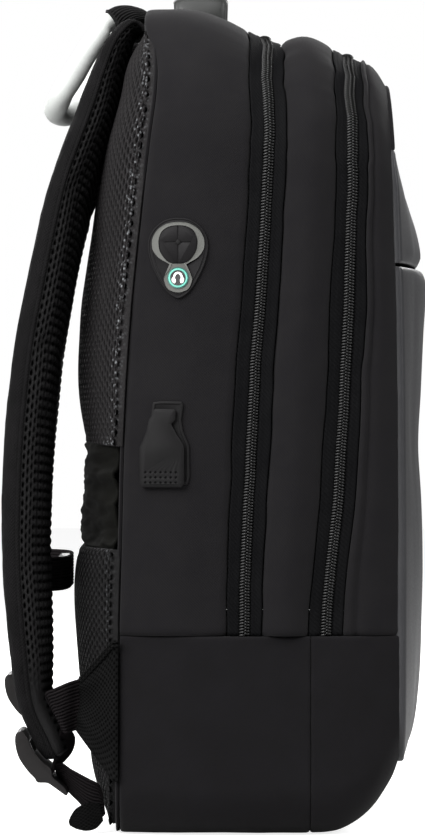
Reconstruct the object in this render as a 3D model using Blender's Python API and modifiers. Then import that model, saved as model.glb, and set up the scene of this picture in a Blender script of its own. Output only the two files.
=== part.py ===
"""Laptop backpack that stands on its base: sewn body panels, padded back, straps, handles and ports.

Metres, +Z up. The front faces -Y, the padded back and the straps face +Y, and the two cable ports
are on the -X side. The origin is the middle of the footprint, on the surface that it stands on.
"""

from collections import namedtuple
from math import cos, pi, radians, sin

import bmesh
import bpy
from mathutils import Matrix, Vector

# Driving sizes.
GAP = 0.0003
CLOTH = 0.0020
PANEL = 0.0030
HEM_HEIGHT = 0.1150
BASE_CORNER = 0.0280
TOP_CROWN = 0.0010
SIDE_TAPER = 0.0040

# How far each seam lies along Y, by height: the six seams from the back to the front.
SeamRow = namedtuple("SeamRow", "z back rear_in rear_out front_in front_out face")
SEAMS = (
    SeamRow(0.000, 0.0535, -0.0080, -0.0275, -0.0560, -0.0740, -0.1075),
    SeamRow(0.115, 0.0533, -0.0083, -0.0280, -0.0548, -0.0745, -0.1078),
    SeamRow(0.170, 0.0519, -0.0083, -0.0300, -0.0590, -0.0790, -0.1078),
    SeamRow(0.240, 0.0500, -0.0125, -0.0335, -0.0645, -0.0850, -0.1073),
    SeamRow(0.300, 0.0462, -0.0163, -0.0382, -0.0675, -0.0875, -0.1063),
    SeamRow(0.360, 0.0402, -0.0208, -0.0415, -0.0705, -0.0887, -0.1045),
    SeamRow(0.400, 0.0356, -0.0213, -0.0425, -0.0708, -0.0887, -0.1032),
    SeamRow(0.430, 0.0320, -0.0213, -0.0420, -0.0710, -0.0875, -0.1020),
    SeamRow(0.460, 0.0322, -0.0212, -0.0408, -0.0710, -0.0865, -0.1010),
    SeamRow(0.490, 0.0372, -0.0212, -0.0400, -0.0710, -0.0865, -0.1010),
)

# The body seen from the front, at each seam: an arch with two round upper corners.
Arch = namedtuple("Arch", "half_width top corner")
ARCHES = {
    "back": Arch(0.1480, 0.4810, 0.0740),
    "rear_in": Arch(0.1530, 0.4680, 0.0760),
    "rear_out": Arch(0.1530, 0.4605, 0.0760),
    "front_in": Arch(0.1515, 0.4572, 0.0740),
    "front_out": Arch(0.1490, 0.4500, 0.0720),
    "face": Arch(0.1400, 0.4360, 0.0640),
}

# Each wall between two seams: how far it stands out in the middle, and how finely it is cut.
Wall = namedtuple("Wall", "name first last bulge rows")
GUSSETS = (
    Wall("rear_gusset", "back", "rear_in", 0.0050, 6),
    Wall("middle_gusset", "rear_out", "front_in", 0.0057, 4),
    Wall("front_gusset", "front_out", "face", 0.0035, 4),
)
TAPES = (
    Wall("rear_zip_tape", "rear_in", "rear_out", -0.0008, 3),
    Wall("front_zip_tape", "front_in", "front_out", -0.0008, 3),
)
TAPE_THICKNESS = 0.0012
CHAIN_WIDTH = 0.0080
CHAIN_HEIGHT = 0.0026
SIDE_STEPS = 6
CORNER_STEPS = 6
TOP_STEPS = 4

# The bottom rises towards the front: its height along Y, and the width there.
BaseRow = namedtuple("BaseRow", "y bottom half_width")
FRONT_BASE = (
    BaseRow(-0.0563, 0.0000, 0.1525),
    BaseRow(-0.0650, 0.0003, 0.1518),
    BaseRow(-0.0750, 0.0024, 0.1508),
    BaseRow(-0.0850, 0.0078, 0.1490),
    BaseRow(-0.0930, 0.0150, 0.1468),
    BaseRow(-0.1000, 0.0245, 0.1440),
    BaseRow(-0.1045, 0.0320, 0.1415),
    BaseRow(-0.1075, 0.0400, 0.1400),
)
REAR_BASE_ROWS = 6

# The front face: how far it stands out of its seam in the middle, by height.
FaceRow = namedtuple("FaceRow", "z crown")
POCKET = (
    FaceRow(0.0400, 0.0000),
    FaceRow(0.0422, 0.0020),
    FaceRow(0.0470, 0.0050),
    FaceRow(0.0560, 0.0085),
    FaceRow(0.0700, 0.0112),
    FaceRow(0.0900, 0.0132),
    FaceRow(0.1150, 0.0142),
    FaceRow(0.1550, 0.0150),
    FaceRow(0.1900, 0.0147),
    FaceRow(0.2220, 0.0132),
    FaceRow(0.2550, 0.0150),
    FaceRow(0.2900, 0.0168),
    FaceRow(0.3170, 0.0190),
    FaceRow(0.3265, 0.0186),
)
FLAP = (
    FaceRow(0.3285, 0.0140),
    FaceRow(0.3360, 0.0160),
    FaceRow(0.3500, 0.0140),
    FaceRow(0.3650, 0.0095),
    FaceRow(0.3800, 0.0050),
    FaceRow(0.3940, 0.0010),
)
YOKE = (
    FaceRow(0.3943, 0.0010),
    FaceRow(0.4070, 0.0006),
    FaceRow(0.4200, 0.0003),
    FaceRow(0.4300, 0.0001),
    FaceRow(0.4360, 0.0000),
)
FACE_COLUMNS = 12
FACE_FULLNESS = 2.6

# The padded back, by height: how far it stands out of the back seam, half its width, and how square.
PadRow = namedtuple("PadRow", "z height half_width fullness")
UPPER_PAD = (
    PadRow(0.2240, 0.0200, 0.1400, 3.4),
    PadRow(0.2340, 0.0255, 0.1410, 3.4),
    PadRow(0.2600, 0.0300, 0.1415, 3.4),
    PadRow(0.2950, 0.0312, 0.1410, 3.4),
    PadRow(0.3300, 0.0308, 0.1400, 3.4),
    PadRow(0.3650, 0.0312, 0.1385, 4.2),
    PadRow(0.3950, 0.0292, 0.1365, 5.5),
    PadRow(0.4150, 0.0268, 0.1335, 6.0),
    PadRow(0.4320, 0.0238, 0.1275, 6.0),
    PadRow(0.4440, 0.0212, 0.1195, 5.0),
    PadRow(0.4510, 0.0170, 0.1110, 4.0),
    PadRow(0.4560, 0.0110, 0.0980, 3.4),
)
BAND = (
    PadRow(0.1650, 0.0250, 0.1420, 3.4),
    PadRow(0.1780, 0.0250, 0.1425, 3.4),
    PadRow(0.2050, 0.0256, 0.1425, 3.4),
    PadRow(0.2225, 0.0254, 0.1415, 3.4),
)
LOWER_PAD = (
    PadRow(0.0055, 0.0066, 0.1180, 3.4),
    PadRow(0.0100, 0.0110, 0.1240, 3.4),
    PadRow(0.0200, 0.0162, 0.1300, 3.4),
    PadRow(0.0350, 0.0202, 0.1345, 3.4),
    PadRow(0.0520, 0.0222, 0.1370, 3.4),
    PadRow(0.0720, 0.0245, 0.1390, 3.4),
    PadRow(0.1000, 0.0270, 0.1400, 3.4),
    PadRow(0.1250, 0.0290, 0.1405, 3.4),
    PadRow(0.1480, 0.0300, 0.1405, 3.4),
    PadRow(0.1580, 0.0285, 0.1400, 3.4),
    PadRow(0.1635, 0.0200, 0.1390, 3.4),
)
PAD_COLUMNS = 14
PAD_EDGE = 0.0040
BAND_THICKNESS = 0.0025
BACK_PANEL_COLUMNS = 8
BACK_HEIGHTS = (
    *(0.0000, 0.0060, 0.0140, 0.0280, 0.0700, 0.1150, 0.1700, 0.2300, 0.3000, 0.3600),
    *(0.3950, 0.4200, 0.4400, 0.4560, 0.4670, 0.4750, 0.4810),
)

# A shoulder strap's middle line, from its seat on the back to its rounded lower end.
StrapRow = namedtuple("StrapRow", "x y z width thickness")
STRAP = (
    StrapRow(0.0490, 0.0366, 0.4680, 0.0500, 0.0050),
    StrapRow(0.0490, 0.0520, 0.4685, 0.0540, 0.0100),
    StrapRow(0.0580, 0.0640, 0.4530, 0.0600, 0.0170),
    StrapRow(0.0650, 0.0705, 0.4350, 0.0620, 0.0210),
    StrapRow(0.0730, 0.0765, 0.4130, 0.0630, 0.0220),
    StrapRow(0.0820, 0.0812, 0.3890, 0.0640, 0.0220),
    StrapRow(0.0890, 0.0855, 0.3670, 0.0640, 0.0230),
    StrapRow(0.0970, 0.0915, 0.3375, 0.0640, 0.0240),
    StrapRow(0.1030, 0.0970, 0.3080, 0.0640, 0.0250),
    StrapRow(0.1080, 0.1020, 0.2790, 0.0640, 0.0250),
    StrapRow(0.1110, 0.1052, 0.2500, 0.0640, 0.0250),
    StrapRow(0.1130, 0.1073, 0.2205, 0.0640, 0.0250),
    StrapRow(0.1150, 0.1083, 0.1915, 0.0640, 0.0250),
    StrapRow(0.1160, 0.1085, 0.1625, 0.0640, 0.0250),
    StrapRow(0.1170, 0.1072, 0.1335, 0.0640, 0.0240),
    StrapRow(0.1180, 0.1052, 0.1045, 0.0620, 0.0225),
    StrapRow(0.1190, 0.1018, 0.0757, 0.0570, 0.0205),
    StrapRow(0.1195, 0.0940, 0.0560, 0.0500, 0.0190),
    StrapRow(0.1195, 0.0905, 0.0468, 0.0420, 0.0130),
)
STRAP_ROLL = radians(5.0)
STRAP_SIDES = 12
STRAP_FULLNESS = 3.2
# The strap on the far side hangs a little further back, and higher at its lower end.
FarRow = namedtuple("FarRow", "z back up")
FAR_SHIFT = (
    FarRow(0.0400, 0.0192, 0.0165),
    FarRow(0.0700, 0.0170, 0.0145),
    FarRow(0.1000, 0.0125, 0.0100),
    FarRow(0.1400, 0.0098, 0.0030),
    FarRow(0.1650, 0.0092, 0.0000),
    FarRow(0.2050, 0.0080, 0.0000),
    FarRow(0.2500, 0.0070, 0.0000),
    FarRow(0.2950, 0.0072, 0.0000),
    FarRow(0.3400, 0.0068, 0.0000),
    FarRow(0.3700, 0.0046, 0.0000),
    FarRow(0.4100, 0.0010, 0.0000),
    FarRow(0.4400, 0.0000, 0.0000),
)
FAR_ROLL = radians(-1.0)

# The ladder buckle's side outline, measured from the strap's lower end.
LOCK_OUTLINE = (
    (0.1130, 0.0578),
    (0.1133, 0.0531),
    (0.1113, 0.0439),
    (0.1058, 0.0363),
    (0.1023, 0.0320),
    (0.0953, 0.0305),
    (0.0901, 0.0270),
    (0.0837, 0.0225),
    (0.0846, 0.0262),
    (0.0918, 0.0325),
    (0.0930, 0.0378),
    (0.0980, 0.0420),
    (0.1027, 0.0478),
    (0.1063, 0.0552),
    (0.1100, 0.0595),
)
LOCK_X = 0.1200
LOCK_WIDTH = 0.0360
LOCK_WINDOW = (0.0260, 0.0250, 0.0060)
LOCK_WINDOW_PLACE = (0.1075, 0.0440)
LOCK_WINDOW_TILT = radians(58.0)

# Flat webbing: the middle line and half of its width, as a vector across it.
WebRow = namedtuple("WebRow", "x y z across_x across_y across_z")
WEBBING = (
    WebRow(0.1330, 0.0777, 0.0745, 0.0000, -0.0016, 0.0150),
    WebRow(0.1312, 0.0825, 0.0735, 0.0005, -0.0008, 0.0148),
    WebRow(0.1272, 0.0856, 0.0718, 0.0030, 0.0024, 0.0140),
    WebRow(0.1225, 0.0872, 0.0685, 0.0075, 0.0040, 0.0112),
    WebRow(0.1200, 0.0820, 0.0600, 0.0120, 0.0012, 0.0040),
    WebRow(0.1200, 0.0812, 0.0500, 0.0125, 0.0000, 0.0000),
    WebRow(0.1200, 0.0832, 0.0400, 0.0125, 0.0000, 0.0000),
    WebRow(0.1200, 0.0915, 0.0350, 0.0125, 0.0000, 0.0000),
)
TAIL = (
    WebRow(0.1200, 0.0850, 0.0296, 0.0120, 0.0000, 0.0000),
    WebRow(0.1210, 0.0795, 0.0312, 0.0110, 0.0035, 0.0030),
    WebRow(0.1250, 0.0748, 0.0292, 0.0055, 0.0085, 0.0035),
    WebRow(0.1280, 0.0722, 0.0235, 0.0020, 0.0105, 0.0020),
    WebRow(0.1290, 0.0722, 0.0165, 0.0010, 0.0105, 0.0005),
    WebRow(0.1285, 0.0732, 0.0095, 0.0010, 0.0103, -0.0005),
    WebRow(0.1275, 0.0742, 0.0038, 0.0010, 0.0095, -0.0008),
)
FAR_WEBBING = (
    WebRow(0.1330, 0.0777, 0.0745, 0.0000, -0.0016, 0.0150),
    WebRow(0.1300, 0.0840, 0.0665, 0.0040, -0.0008, 0.0125),
    WebRow(0.1255, 0.0893, 0.0560, 0.0090, 0.0000, 0.0080),
    WebRow(0.1220, 0.0925, 0.0500, 0.0120, 0.0000, 0.0030),
    WebRow(0.1200, 0.0975, 0.0475, 0.0125, 0.0000, 0.0000),
    WebRow(0.1200, 0.1040, 0.0490, 0.0125, 0.0000, 0.0000),
    WebRow(0.1200, 0.1107, 0.0515, 0.0125, 0.0000, 0.0000),
)
FAR_TAIL = (
    WebRow(0.1200, 0.1069, 0.0403, 0.0120, 0.0000, 0.0000),
    WebRow(0.1200, 0.1106, 0.0428, 0.0120, 0.0000, 0.0000),
    WebRow(0.1205, 0.1122, 0.0419, 0.0115, 0.0015, 0.0000),
    WebRow(0.1215, 0.1127, 0.0385, 0.0090, 0.0060, 0.0000),
    WebRow(0.1225, 0.1120, 0.0330, 0.0050, 0.0095, 0.0000),
    WebRow(0.1230, 0.1110, 0.0265, 0.0010, 0.0105, 0.0000),
    WebRow(0.1230, 0.1105, 0.0205, 0.0000, 0.0100, 0.0000),
)
WEBBING_THICKNESS = 0.0016
WEB_STEPS = 3

# The cloth triangle between the back seam and the webbing: its side outline, and X at each point.
WingPoint = namedtuple("WingPoint", "x y z")
WING_SEAM = (
    WingPoint(0.1508, 0.0538, 0.1120),
    WingPoint(0.1508, 0.0540, 0.0850),
    WingPoint(0.1508, 0.0540, 0.0580),
    WingPoint(0.1508, 0.0540, 0.0320),
)
WING_FLAT = Vector((0.0, 0.0030, 0.0))
WING_TIP = (
    WingPoint(0.1335, 0.0755, 0.0905),
    WingPoint(0.1330, 0.0768, 0.0805),
    WingPoint(0.1330, 0.0778, 0.0695),
    WingPoint(0.1335, 0.0788, 0.0595),
)
WING_THICKNESS = 0.0020
WING_STEPS = 4

# The strap across the chest: its middle line from the near strap to the far one.
CHEST_MIDDLE_Y = 0.0862
ChestRow = namedtuple("ChestRow", "x y")
CHEST = (
    ChestRow(-0.0834, 0.1095),
    ChestRow(-0.0795, 0.1020),
    ChestRow(-0.0710, 0.0945),
    ChestRow(-0.0560, 0.0888),
    ChestRow(-0.0300, 0.0864),
    ChestRow(0.0000, CHEST_MIDDLE_Y),
    ChestRow(0.0300, 0.0866),
    ChestRow(0.0560, 0.0905),
    ChestRow(0.0710, 0.0985),
    ChestRow(0.0800, 0.1090),
    ChestRow(0.0833, 0.1180),
)
CHEST_Z = 0.1470
CHEST_WIDTH = 0.0200
CHEST_THICKNESS = 0.0015
CLASP_SIZE = (0.0400, 0.0060, 0.0190)

# The white hanging loop: the middle line of its near half.
LoopRow = namedtuple("LoopRow", "x y z")
HANG_LOOP = (
    LoopRow(0.0409, 0.0658, 0.4745),
    LoopRow(0.0427, 0.0740, 0.4670),
    LoopRow(0.0440, 0.0822, 0.4590),
    LoopRow(0.0445, 0.0890, 0.4485),
    LoopRow(0.0430, 0.0935, 0.4380),
    LoopRow(0.0380, 0.0965, 0.4290),
    LoopRow(0.0270, 0.0980, 0.4240),
    LoopRow(0.0120, 0.0985, 0.4225),
)
LOOP_RADIUS = 0.0058
ANCHOR_ROWS = (
    StrapRow(0.0380, 0.0391, 0.4796, 0.0300, 0.0040),
    StrapRow(0.0385, 0.0480, 0.4815, 0.0220, 0.0075),
    StrapRow(0.0391, 0.0560, 0.4812, 0.0170, 0.0120),
    StrapRow(0.0400, 0.0618, 0.4785, 0.0155, 0.0130),
    StrapRow(0.0408, 0.0655, 0.4748, 0.0145, 0.0130),
)

# The carry handle: the middle line of its near half, an arch across the top.
HandleRow = namedtuple("HandleRow", "x y z width thickness tilt")
HANDLE = (
    HandleRow(0.0000, 0.0070, 0.4925, 0.0330, 0.0056, radians(0.0)),
    HandleRow(0.0200, 0.0070, 0.4918, 0.0330, 0.0056, radians(1.0)),
    HandleRow(0.0370, 0.0070, 0.4895, 0.0320, 0.0052, radians(4.0)),
    HandleRow(0.0490, 0.0070, 0.4867, 0.0300, 0.0046, radians(9.0)),
    HandleRow(0.0580, 0.0070, 0.4837, 0.0280, 0.0040, radians(13.0)),
    HandleRow(0.0680, 0.0070, 0.4819, 0.0260, 0.0034, radians(14.0)),
)

# The ports on the near side. Places are (y, z) on the rear gusset.
PORT_THICKNESS = 0.0018
PORT_STEP = 0.0080
HEADPHONE_CENTRE = (0.0197, 0.3340)
HEADPHONE_TIP = (0.0197, 0.3075)
HEADPHONE_HALF = (0.0172, 0.0205)
RING_CENTRE = (0.0195, 0.3390)
RING_OUTER = (0.0150, 0.0120)
RING_INNER = (0.0108, 0.0106)
RING_THICKNESS = 0.0014
BADGE_CENTRE = (0.0197, 0.3192)
BADGE_RADII = (0.0058, 0.0058)
BADGE_DEPTH = 0.0012
USB_BASE_OUTLINE = (
    (0.0300, 0.2490),
    (0.0165, 0.2480),
    (0.0150, 0.2350),
    (0.0125, 0.2240),
    (0.0125, 0.2010),
    (0.0405, 0.2010),
    (0.0410, 0.2280),
    (0.0360, 0.2350),
    (0.0340, 0.2480),
)
USB_COVER_OUTLINE = (
    (0.0338, 0.2440),
    (0.0215, 0.2440),
    (0.0200, 0.2320),
    (0.0165, 0.2240),
    (0.0162, 0.1995),
    (0.0418, 0.1995),
    (0.0418, 0.2235),
    (0.0372, 0.2330),
)
USB_BASE_THICKNESS = 0.0014
USB_COVER_THICKNESS = 0.0034

# Each zip's slider sits on the far side, where its chain passes this height.
SLIDER_Z = 0.3900
SLIDER_OUTLINE = (
    (0.0000, 0.0070),
    (0.0055, 0.0050),
    (0.0050, -0.0060),
    (0.0030, -0.0080),
    (0.0034, -0.0330),
    (0.0000, -0.0360),
    (-0.0034, -0.0330),
    (-0.0030, -0.0080),
    (-0.0050, -0.0060),
    (-0.0055, 0.0050),
)
SLIDER_THICKNESS = 0.0030

Finish = namedtuple("Finish", "colour roughness metallic")
FINISHES = {
    "matte_cloth": Finish((0.022, 0.021, 0.022), 0.75, 0.0),
    "base_cloth": Finish((0.015, 0.014, 0.015), 0.80, 0.0),
    "satin_cloth": Finish((0.045, 0.045, 0.048), 0.40, 0.0),
    "air_mesh": Finish((0.008, 0.008, 0.008), 0.85, 0.0),
    "webbing": Finish((0.018, 0.016, 0.016), 0.80, 0.0),
    "zip_coil": Finish((0.010, 0.010, 0.010), 0.45, 0.0),
    "buckle_plastic": Finish((0.060, 0.056, 0.058), 0.45, 0.0),
    "port_rubber": Finish((0.042, 0.042, 0.044), 0.60, 0.0),
    "ring_rubber": Finish((0.105, 0.112, 0.100), 0.55, 0.0),
    "badge_teal": Finish((0.150, 0.460, 0.400), 0.40, 0.0),
    "white_satin": Finish((0.700, 0.710, 0.720), 0.35, 0.0),
    "handle_rubber": Finish((0.055, 0.058, 0.056), 0.40, 0.0),
    "slider_metal": Finish((0.080, 0.080, 0.085), 0.35, 0.9),
}


def clear_scene():
    """Remove every object that the new file starts with."""
    for item in list(bpy.data.objects):
        bpy.data.objects.remove(item, do_unlink=True)


def new_collection(name):
    """Make a collection under the scene's own."""
    group = bpy.data.collections.new(name)
    bpy.context.scene.collection.children.link(group)
    return group


def finish_material(name):
    """The Principled material of a named finish, made once."""
    found = bpy.data.materials.get(name)
    if found:
        return found
    finish = FINISHES[name]
    made = bpy.data.materials.new(name)
    made.use_nodes = True
    shader = made.node_tree.nodes["Principled BSDF"]
    shader.inputs["Base Color"].default_value = (*finish.colour, 1.0)
    shader.inputs["Roughness"].default_value = finish.roughness
    shader.inputs["Metallic"].default_value = finish.metallic
    return made


def add_object(name, mesh, finish, group):
    """Put a mesh in the scene as a named part with its own copy of a finish."""
    made = bpy.data.objects.new(name, mesh)
    own = finish_material(finish).copy()
    own.name = name + "_" + finish
    mesh.materials.clear()
    mesh.materials.append(own)
    group.objects.link(made)
    return made


def smooth_value(rows, column, key):
    """The value of a column at a key, on a smooth curve through the rows and level past its ends."""
    keys = [row[0] for row in rows]
    values = [getattr(row, column) for row in rows]
    if key <= keys[0]:
        return values[0]
    if key >= keys[-1]:
        return values[-1]
    low = max(i for i in range(len(keys) - 1) if keys[i] <= key)
    high = low + 1
    before = max(low - 1, 0)
    after = min(high + 1, len(keys) - 1)
    span = keys[high] - keys[low]
    slope_low = (values[high] - values[before]) / (keys[high] - keys[before]) * span
    slope_high = (values[after] - values[low]) / (keys[after] - keys[low]) * span
    t = (key - keys[low]) / span
    return (
        (2 * t**3 - 3 * t**2 + 1) * values[low]
        + (t**3 - 2 * t**2 + t) * slope_low
        + (3 * t**2 - 2 * t**3) * values[high]
        + (t**3 - t**2) * slope_high
    )


def mix(first, second, t):
    """Straight mix of two numbers."""
    return first + (second - first) * t


def grid_mesh(name, rows, closed=False, capped=False):
    """A mesh through rows of points; closed joins each row's ends, capped fills the end rings."""
    work = bmesh.new()
    lines = [[work.verts.new(point) for point in row] for row in rows]
    count = len(rows[0])
    last = count if closed else count - 1
    for line, following in zip(lines, lines[1:]):
        for i in range(last):
            j = (i + 1) % count
            work.faces.new((line[i], line[j], following[j], following[i]))
    if capped:
        work.faces.new(lines[0])
        work.faces.new(lines[-1])
        bmesh.ops.recalc_face_normals(work, faces=work.faces)
        if work.calc_volume(signed=True) < 0.0:
            bmesh.ops.reverse_faces(work, faces=work.faces)
    work.normal_update()
    mesh = bpy.data.meshes.new(name)
    work.to_mesh(mesh)
    work.free()
    return mesh


def turn_outwards(mesh, middle):
    """Turn an open surface's faces away from a point behind it."""
    total = sum(face.area * face.normal.dot(face.center - middle) for face in mesh.polygons)
    if total < 0.0:
        mesh.flip_normals()


def add_wall(name, rows, thickness, finish, group, middle=Vector((0.0, 0.0, 0.22))):
    """An open sheet of cloth given its thickness inwards."""
    mesh = grid_mesh(name, rows)
    turn_outwards(mesh, middle)
    made = add_object(name, mesh, finish, group)
    wall = made.modifiers.new("Wall", "SOLIDIFY")
    wall.thickness = thickness
    wall.offset = -1.0
    wall.use_even_offset = True
    return made


def arch_steps():
    """The places round an arch, from the hem on the -X side to the hem on the +X side."""
    half = [("side", i / SIDE_STEPS) for i in range(SIDE_STEPS)]
    half += [("corner", i / CORNER_STEPS) for i in range(CORNER_STEPS)]
    half += [("top", i / TOP_STEPS) for i in range(TOP_STEPS)]
    steps = [(-1, kind, t) for kind, t in half]
    steps.append((1, "top", 1.0))
    steps += [(1, kind, t) for kind, t in reversed(half)]
    return steps


def arch_point(arch, step, hem=HEM_HEIGHT):
    """A point on an arch and the direction that faces out of it there: (x, z), (out_x, out_z)."""
    side, kind, t = step
    shoulder = arch.top - arch.corner
    if kind == "side":
        x, z, out = arch.half_width, mix(hem, shoulder, t), (1.0, 0.0)
    elif kind == "corner":
        angle = t * pi / 2
        x = arch.half_width - arch.corner + arch.corner * cos(angle)
        z = shoulder + arch.corner * sin(angle)
        out = (cos(angle), sin(angle))
    else:
        flat = arch.half_width - arch.corner
        x = flat * (1.0 - t)
        z = arch.top + TOP_CROWN * (1.0 - (x / flat) ** 2)
        out = (0.0, 1.0)
    x -= SIDE_TAPER * max(0.0, (z - hem) / (arch.top - hem)) ** 2
    return (side * x, z), (side * out[0], out[1])


def seam_mix(first, last, t, z):
    """Y between two seams at a height, where t runs from the first seam to the last."""
    return mix(smooth_value(SEAMS, first, z) - GAP / 2, smooth_value(SEAMS, last, z) + GAP / 2, t)


def wall_point(first, last, bulge, t, step, lift=0.0):
    """A point on the wall between two seams, where t runs from the first seam to the last."""
    arch = Arch(*(mix(a, b, t) for a, b in zip(ARCHES[first], ARCHES[last])))
    (x, z), (out_x, out_z) = arch_point(arch, step)
    out = bulge * sin(pi * t) + lift
    return Vector((x + out_x * out, seam_mix(first, last, t, z), z + out_z * out))


def arch_solid(wall, thickness):
    """A wall's mesh: its section, out along its outer face and back along its inner one, round the arch."""
    places = [i / wall.rows for i in range(wall.rows + 1)]
    rings = []
    for step in arch_steps():
        outer = [wall_point(wall.first, wall.last, wall.bulge, t, step) for t in places]
        inner = [wall_point(wall.first, wall.last, wall.bulge, t, step, -thickness) for t in places]
        for point, t in zip(inner, places):
            point.y = seam_mix(wall.first, wall.last, t, point.z)
        rings.append(outer + inner[::-1])
    return grid_mesh(wall.name, rings, closed=True, capped=True)


def build_gussets(group):
    """The three side and top walls of the body, and the two zip tapes between them."""
    for wall in GUSSETS:
        add_object(wall.name, arch_solid(wall, PANEL), "matte_cloth", group)
    for wall in TAPES:
        add_object(wall.name, arch_solid(wall, TAPE_THICKNESS), "webbing", group)


def build_chains(group):
    """The zip chains, each a flat rope of teeth that lies on the middle of its tape."""
    for wall in TAPES:
        span = abs(getattr(SEAMS[5], wall.first) - getattr(SEAMS[5], wall.last))
        half = CHAIN_WIDTH / 2 / span
        rows = []
        for step in arch_steps():
            rows.append(
                [
                    wall_point(wall.first, wall.last, wall.bulge, 0.5 + half * a, step, lift)
                    for a, lift in (
                        (-1.0, 2 * GAP),
                        (1.0, 2 * GAP),
                        (0.7, CHAIN_HEIGHT),
                        (-0.7, CHAIN_HEIGHT),
                    )
                ]
            )
        name = wall.name.replace("tape", "chain")
        mesh = grid_mesh(name, rows, closed=True, capped=True)
        add_object(name, mesh, "zip_coil", group)


def trough_row(y_of, bottom, half_width, top):
    """One section of the base: down the -X side, across the bottom and up the +X side."""
    points = []
    corner = min(BASE_CORNER, (top - bottom) * 0.45)
    side_steps, corner_steps, floor_steps = 3, 5, 3
    left = [(-half_width, mix(top, bottom + corner, i / side_steps)) for i in range(side_steps)]
    for i in range(corner_steps):
        angle = i / corner_steps * pi / 2
        left.append(
            (
                -half_width + corner - corner * cos(angle),
                bottom + corner - corner * sin(angle),
            )
        )
    floor = half_width - corner
    left += [(mix(-floor, 0.0, i / floor_steps), bottom) for i in range(floor_steps)]
    for x, z in left:
        points.append(Vector((x, y_of(z), z)))
    points.append(Vector((0.0, y_of(bottom), bottom)))
    points += [Vector((-p.x, p.y, p.z)) for p in reversed(points[:-1])]
    return points


def build_base(group):
    """The two lower walls: each is both sides and the bottom in one, below the hem seam."""
    top = HEM_HEIGHT - GAP
    split = FRONT_BASE[0].y
    rows = []
    for i in range(REAR_BASE_ROWS + 1):
        t = i / REAR_BASE_ROWS
        half_width = mix(0.1480, FRONT_BASE[0].half_width, min(1.0, 3.0 * t))
        half_width += 0.0025 * sin(pi * t)

        def y_of(z, t=t):
            return mix(smooth_value(SEAMS, "back", z) - GAP, split + GAP, t)

        rows.append(trough_row(y_of, 0.0, half_width, top))
    add_wall("lower_rear_wall", rows, PANEL, "base_cloth", group)
    rows = [trough_row(lambda z, y=row.y: y, row.bottom, row.half_width, top) for row in FRONT_BASE]
    add_wall("lower_front_wall", rows, PANEL, "base_cloth", group)


def face_half_width(z):
    """Half of the front face's width at a height, inside its seam."""
    arch = ARCHES["face"]
    lowest = FRONT_BASE[-1].bottom
    shoulder = arch.top - arch.corner
    half_width = arch.half_width - SIDE_TAPER * max(0.0, (z - HEM_HEIGHT) / (arch.top - HEM_HEIGHT)) ** 2
    if z > shoulder:
        rise = min(z - shoulder, arch.corner)
        half_width -= arch.corner - (arch.corner**2 - rise**2) ** 0.5
    if z < lowest + BASE_CORNER:
        drop = min(lowest + BASE_CORNER - z, BASE_CORNER)
        half_width -= BASE_CORNER - (BASE_CORNER**2 - drop**2) ** 0.5
    return half_width


def face_rows(table):
    """The rows of points of a piece of the front face."""
    rows = []
    for row in table:
        seam = smooth_value(SEAMS, "face", row.z)
        half_width = face_half_width(row.z)
        line = []
        at_top = max(0.0, (row.z - YOKE[0].z) / (YOKE[-1].z - YOKE[0].z))
        for i in range(FACE_COLUMNS + 1):
            across = sin((i / FACE_COLUMNS - 0.5) * pi)
            out = row.crown * (1.0 - abs(across) ** FACE_FULLNESS)
            lift = at_top * TOP_CROWN * (1.0 - across**2)
            face = seam - GAP / 2 - PANEL - out
            line.append(Vector((half_width * across, face, row.z + lift)))
        rows.append(line)
    return rows


def build_face(group):
    """The front: a matte yoke, a satin flap and a satin pocket, each standing out as it is filled."""
    add_wall("front_yoke", face_rows(YOKE), PANEL, "matte_cloth", group)
    add_wall("front_flap", face_rows(FLAP), PANEL, "satin_cloth", group)
    add_wall("front_pocket", face_rows(POCKET), PANEL, "satin_cloth", group)


def back_half_width(z):
    """Half of the back panel's width at a height, inside its seam."""
    arch = ARCHES["back"]
    shoulder = arch.top - arch.corner
    half_width = arch.half_width - SIDE_TAPER * max(0.0, (z - HEM_HEIGHT) / (arch.top - HEM_HEIGHT)) ** 2
    if z > shoulder:
        rise = min(z - shoulder, arch.corner)
        half_width -= arch.corner - (arch.corner**2 - rise**2) ** 0.5
    if z < BASE_CORNER:
        drop = min(BASE_CORNER - z, BASE_CORNER)
        half_width -= BASE_CORNER - (BASE_CORNER**2 - drop**2) ** 0.5
    return half_width


def back_face(z):
    """Y of the back panel's outer face."""
    return smooth_value(SEAMS, "back", z) + GAP + CLOTH


def build_back_panel(group):
    """The flat back that closes the body behind its pads."""
    rows = []
    for z in BACK_HEIGHTS:
        half_width = back_half_width(z)
        y = back_face(z)
        rows.append(
            [
                Vector((mix(-half_width, half_width, i / BACK_PANEL_COLUMNS), y, z))
                for i in range(BACK_PANEL_COLUMNS + 1)
            ]
        )
    add_wall("back_panel", rows, CLOTH, "matte_cloth", group)


def pad_face(row, across, edge):
    """Y of a padded piece's outer face at a place across it, from -1 to 1."""
    low = back_face(row.z) + edge
    high = smooth_value(SEAMS, "back", row.z) + row.height
    return mix(low, high, 1.0 - abs(across) ** row.fullness)


def build_pads(group):
    """The padded back above and below the band: closed pillows that lie on the back panel."""
    for name, table in (("upper_back_pad", UPPER_PAD), ("lower_back_pad", LOWER_PAD)):
        rows = []
        for row in table:
            base = back_face(row.z) + 2 * GAP
            front = []
            rear = []
            for i in range(PAD_COLUMNS + 1):
                across = sin((i / PAD_COLUMNS - 0.5) * pi)
                front.append(Vector((row.half_width * across, pad_face(row, across, PAD_EDGE), row.z)))
                rear.append(Vector((row.half_width * across, base, row.z)))
            rows.append(front + rear[::-1])
        mesh = grid_mesh(name, rows, closed=True, capped=True)
        add_object(name, mesh, "air_mesh", group)


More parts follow.
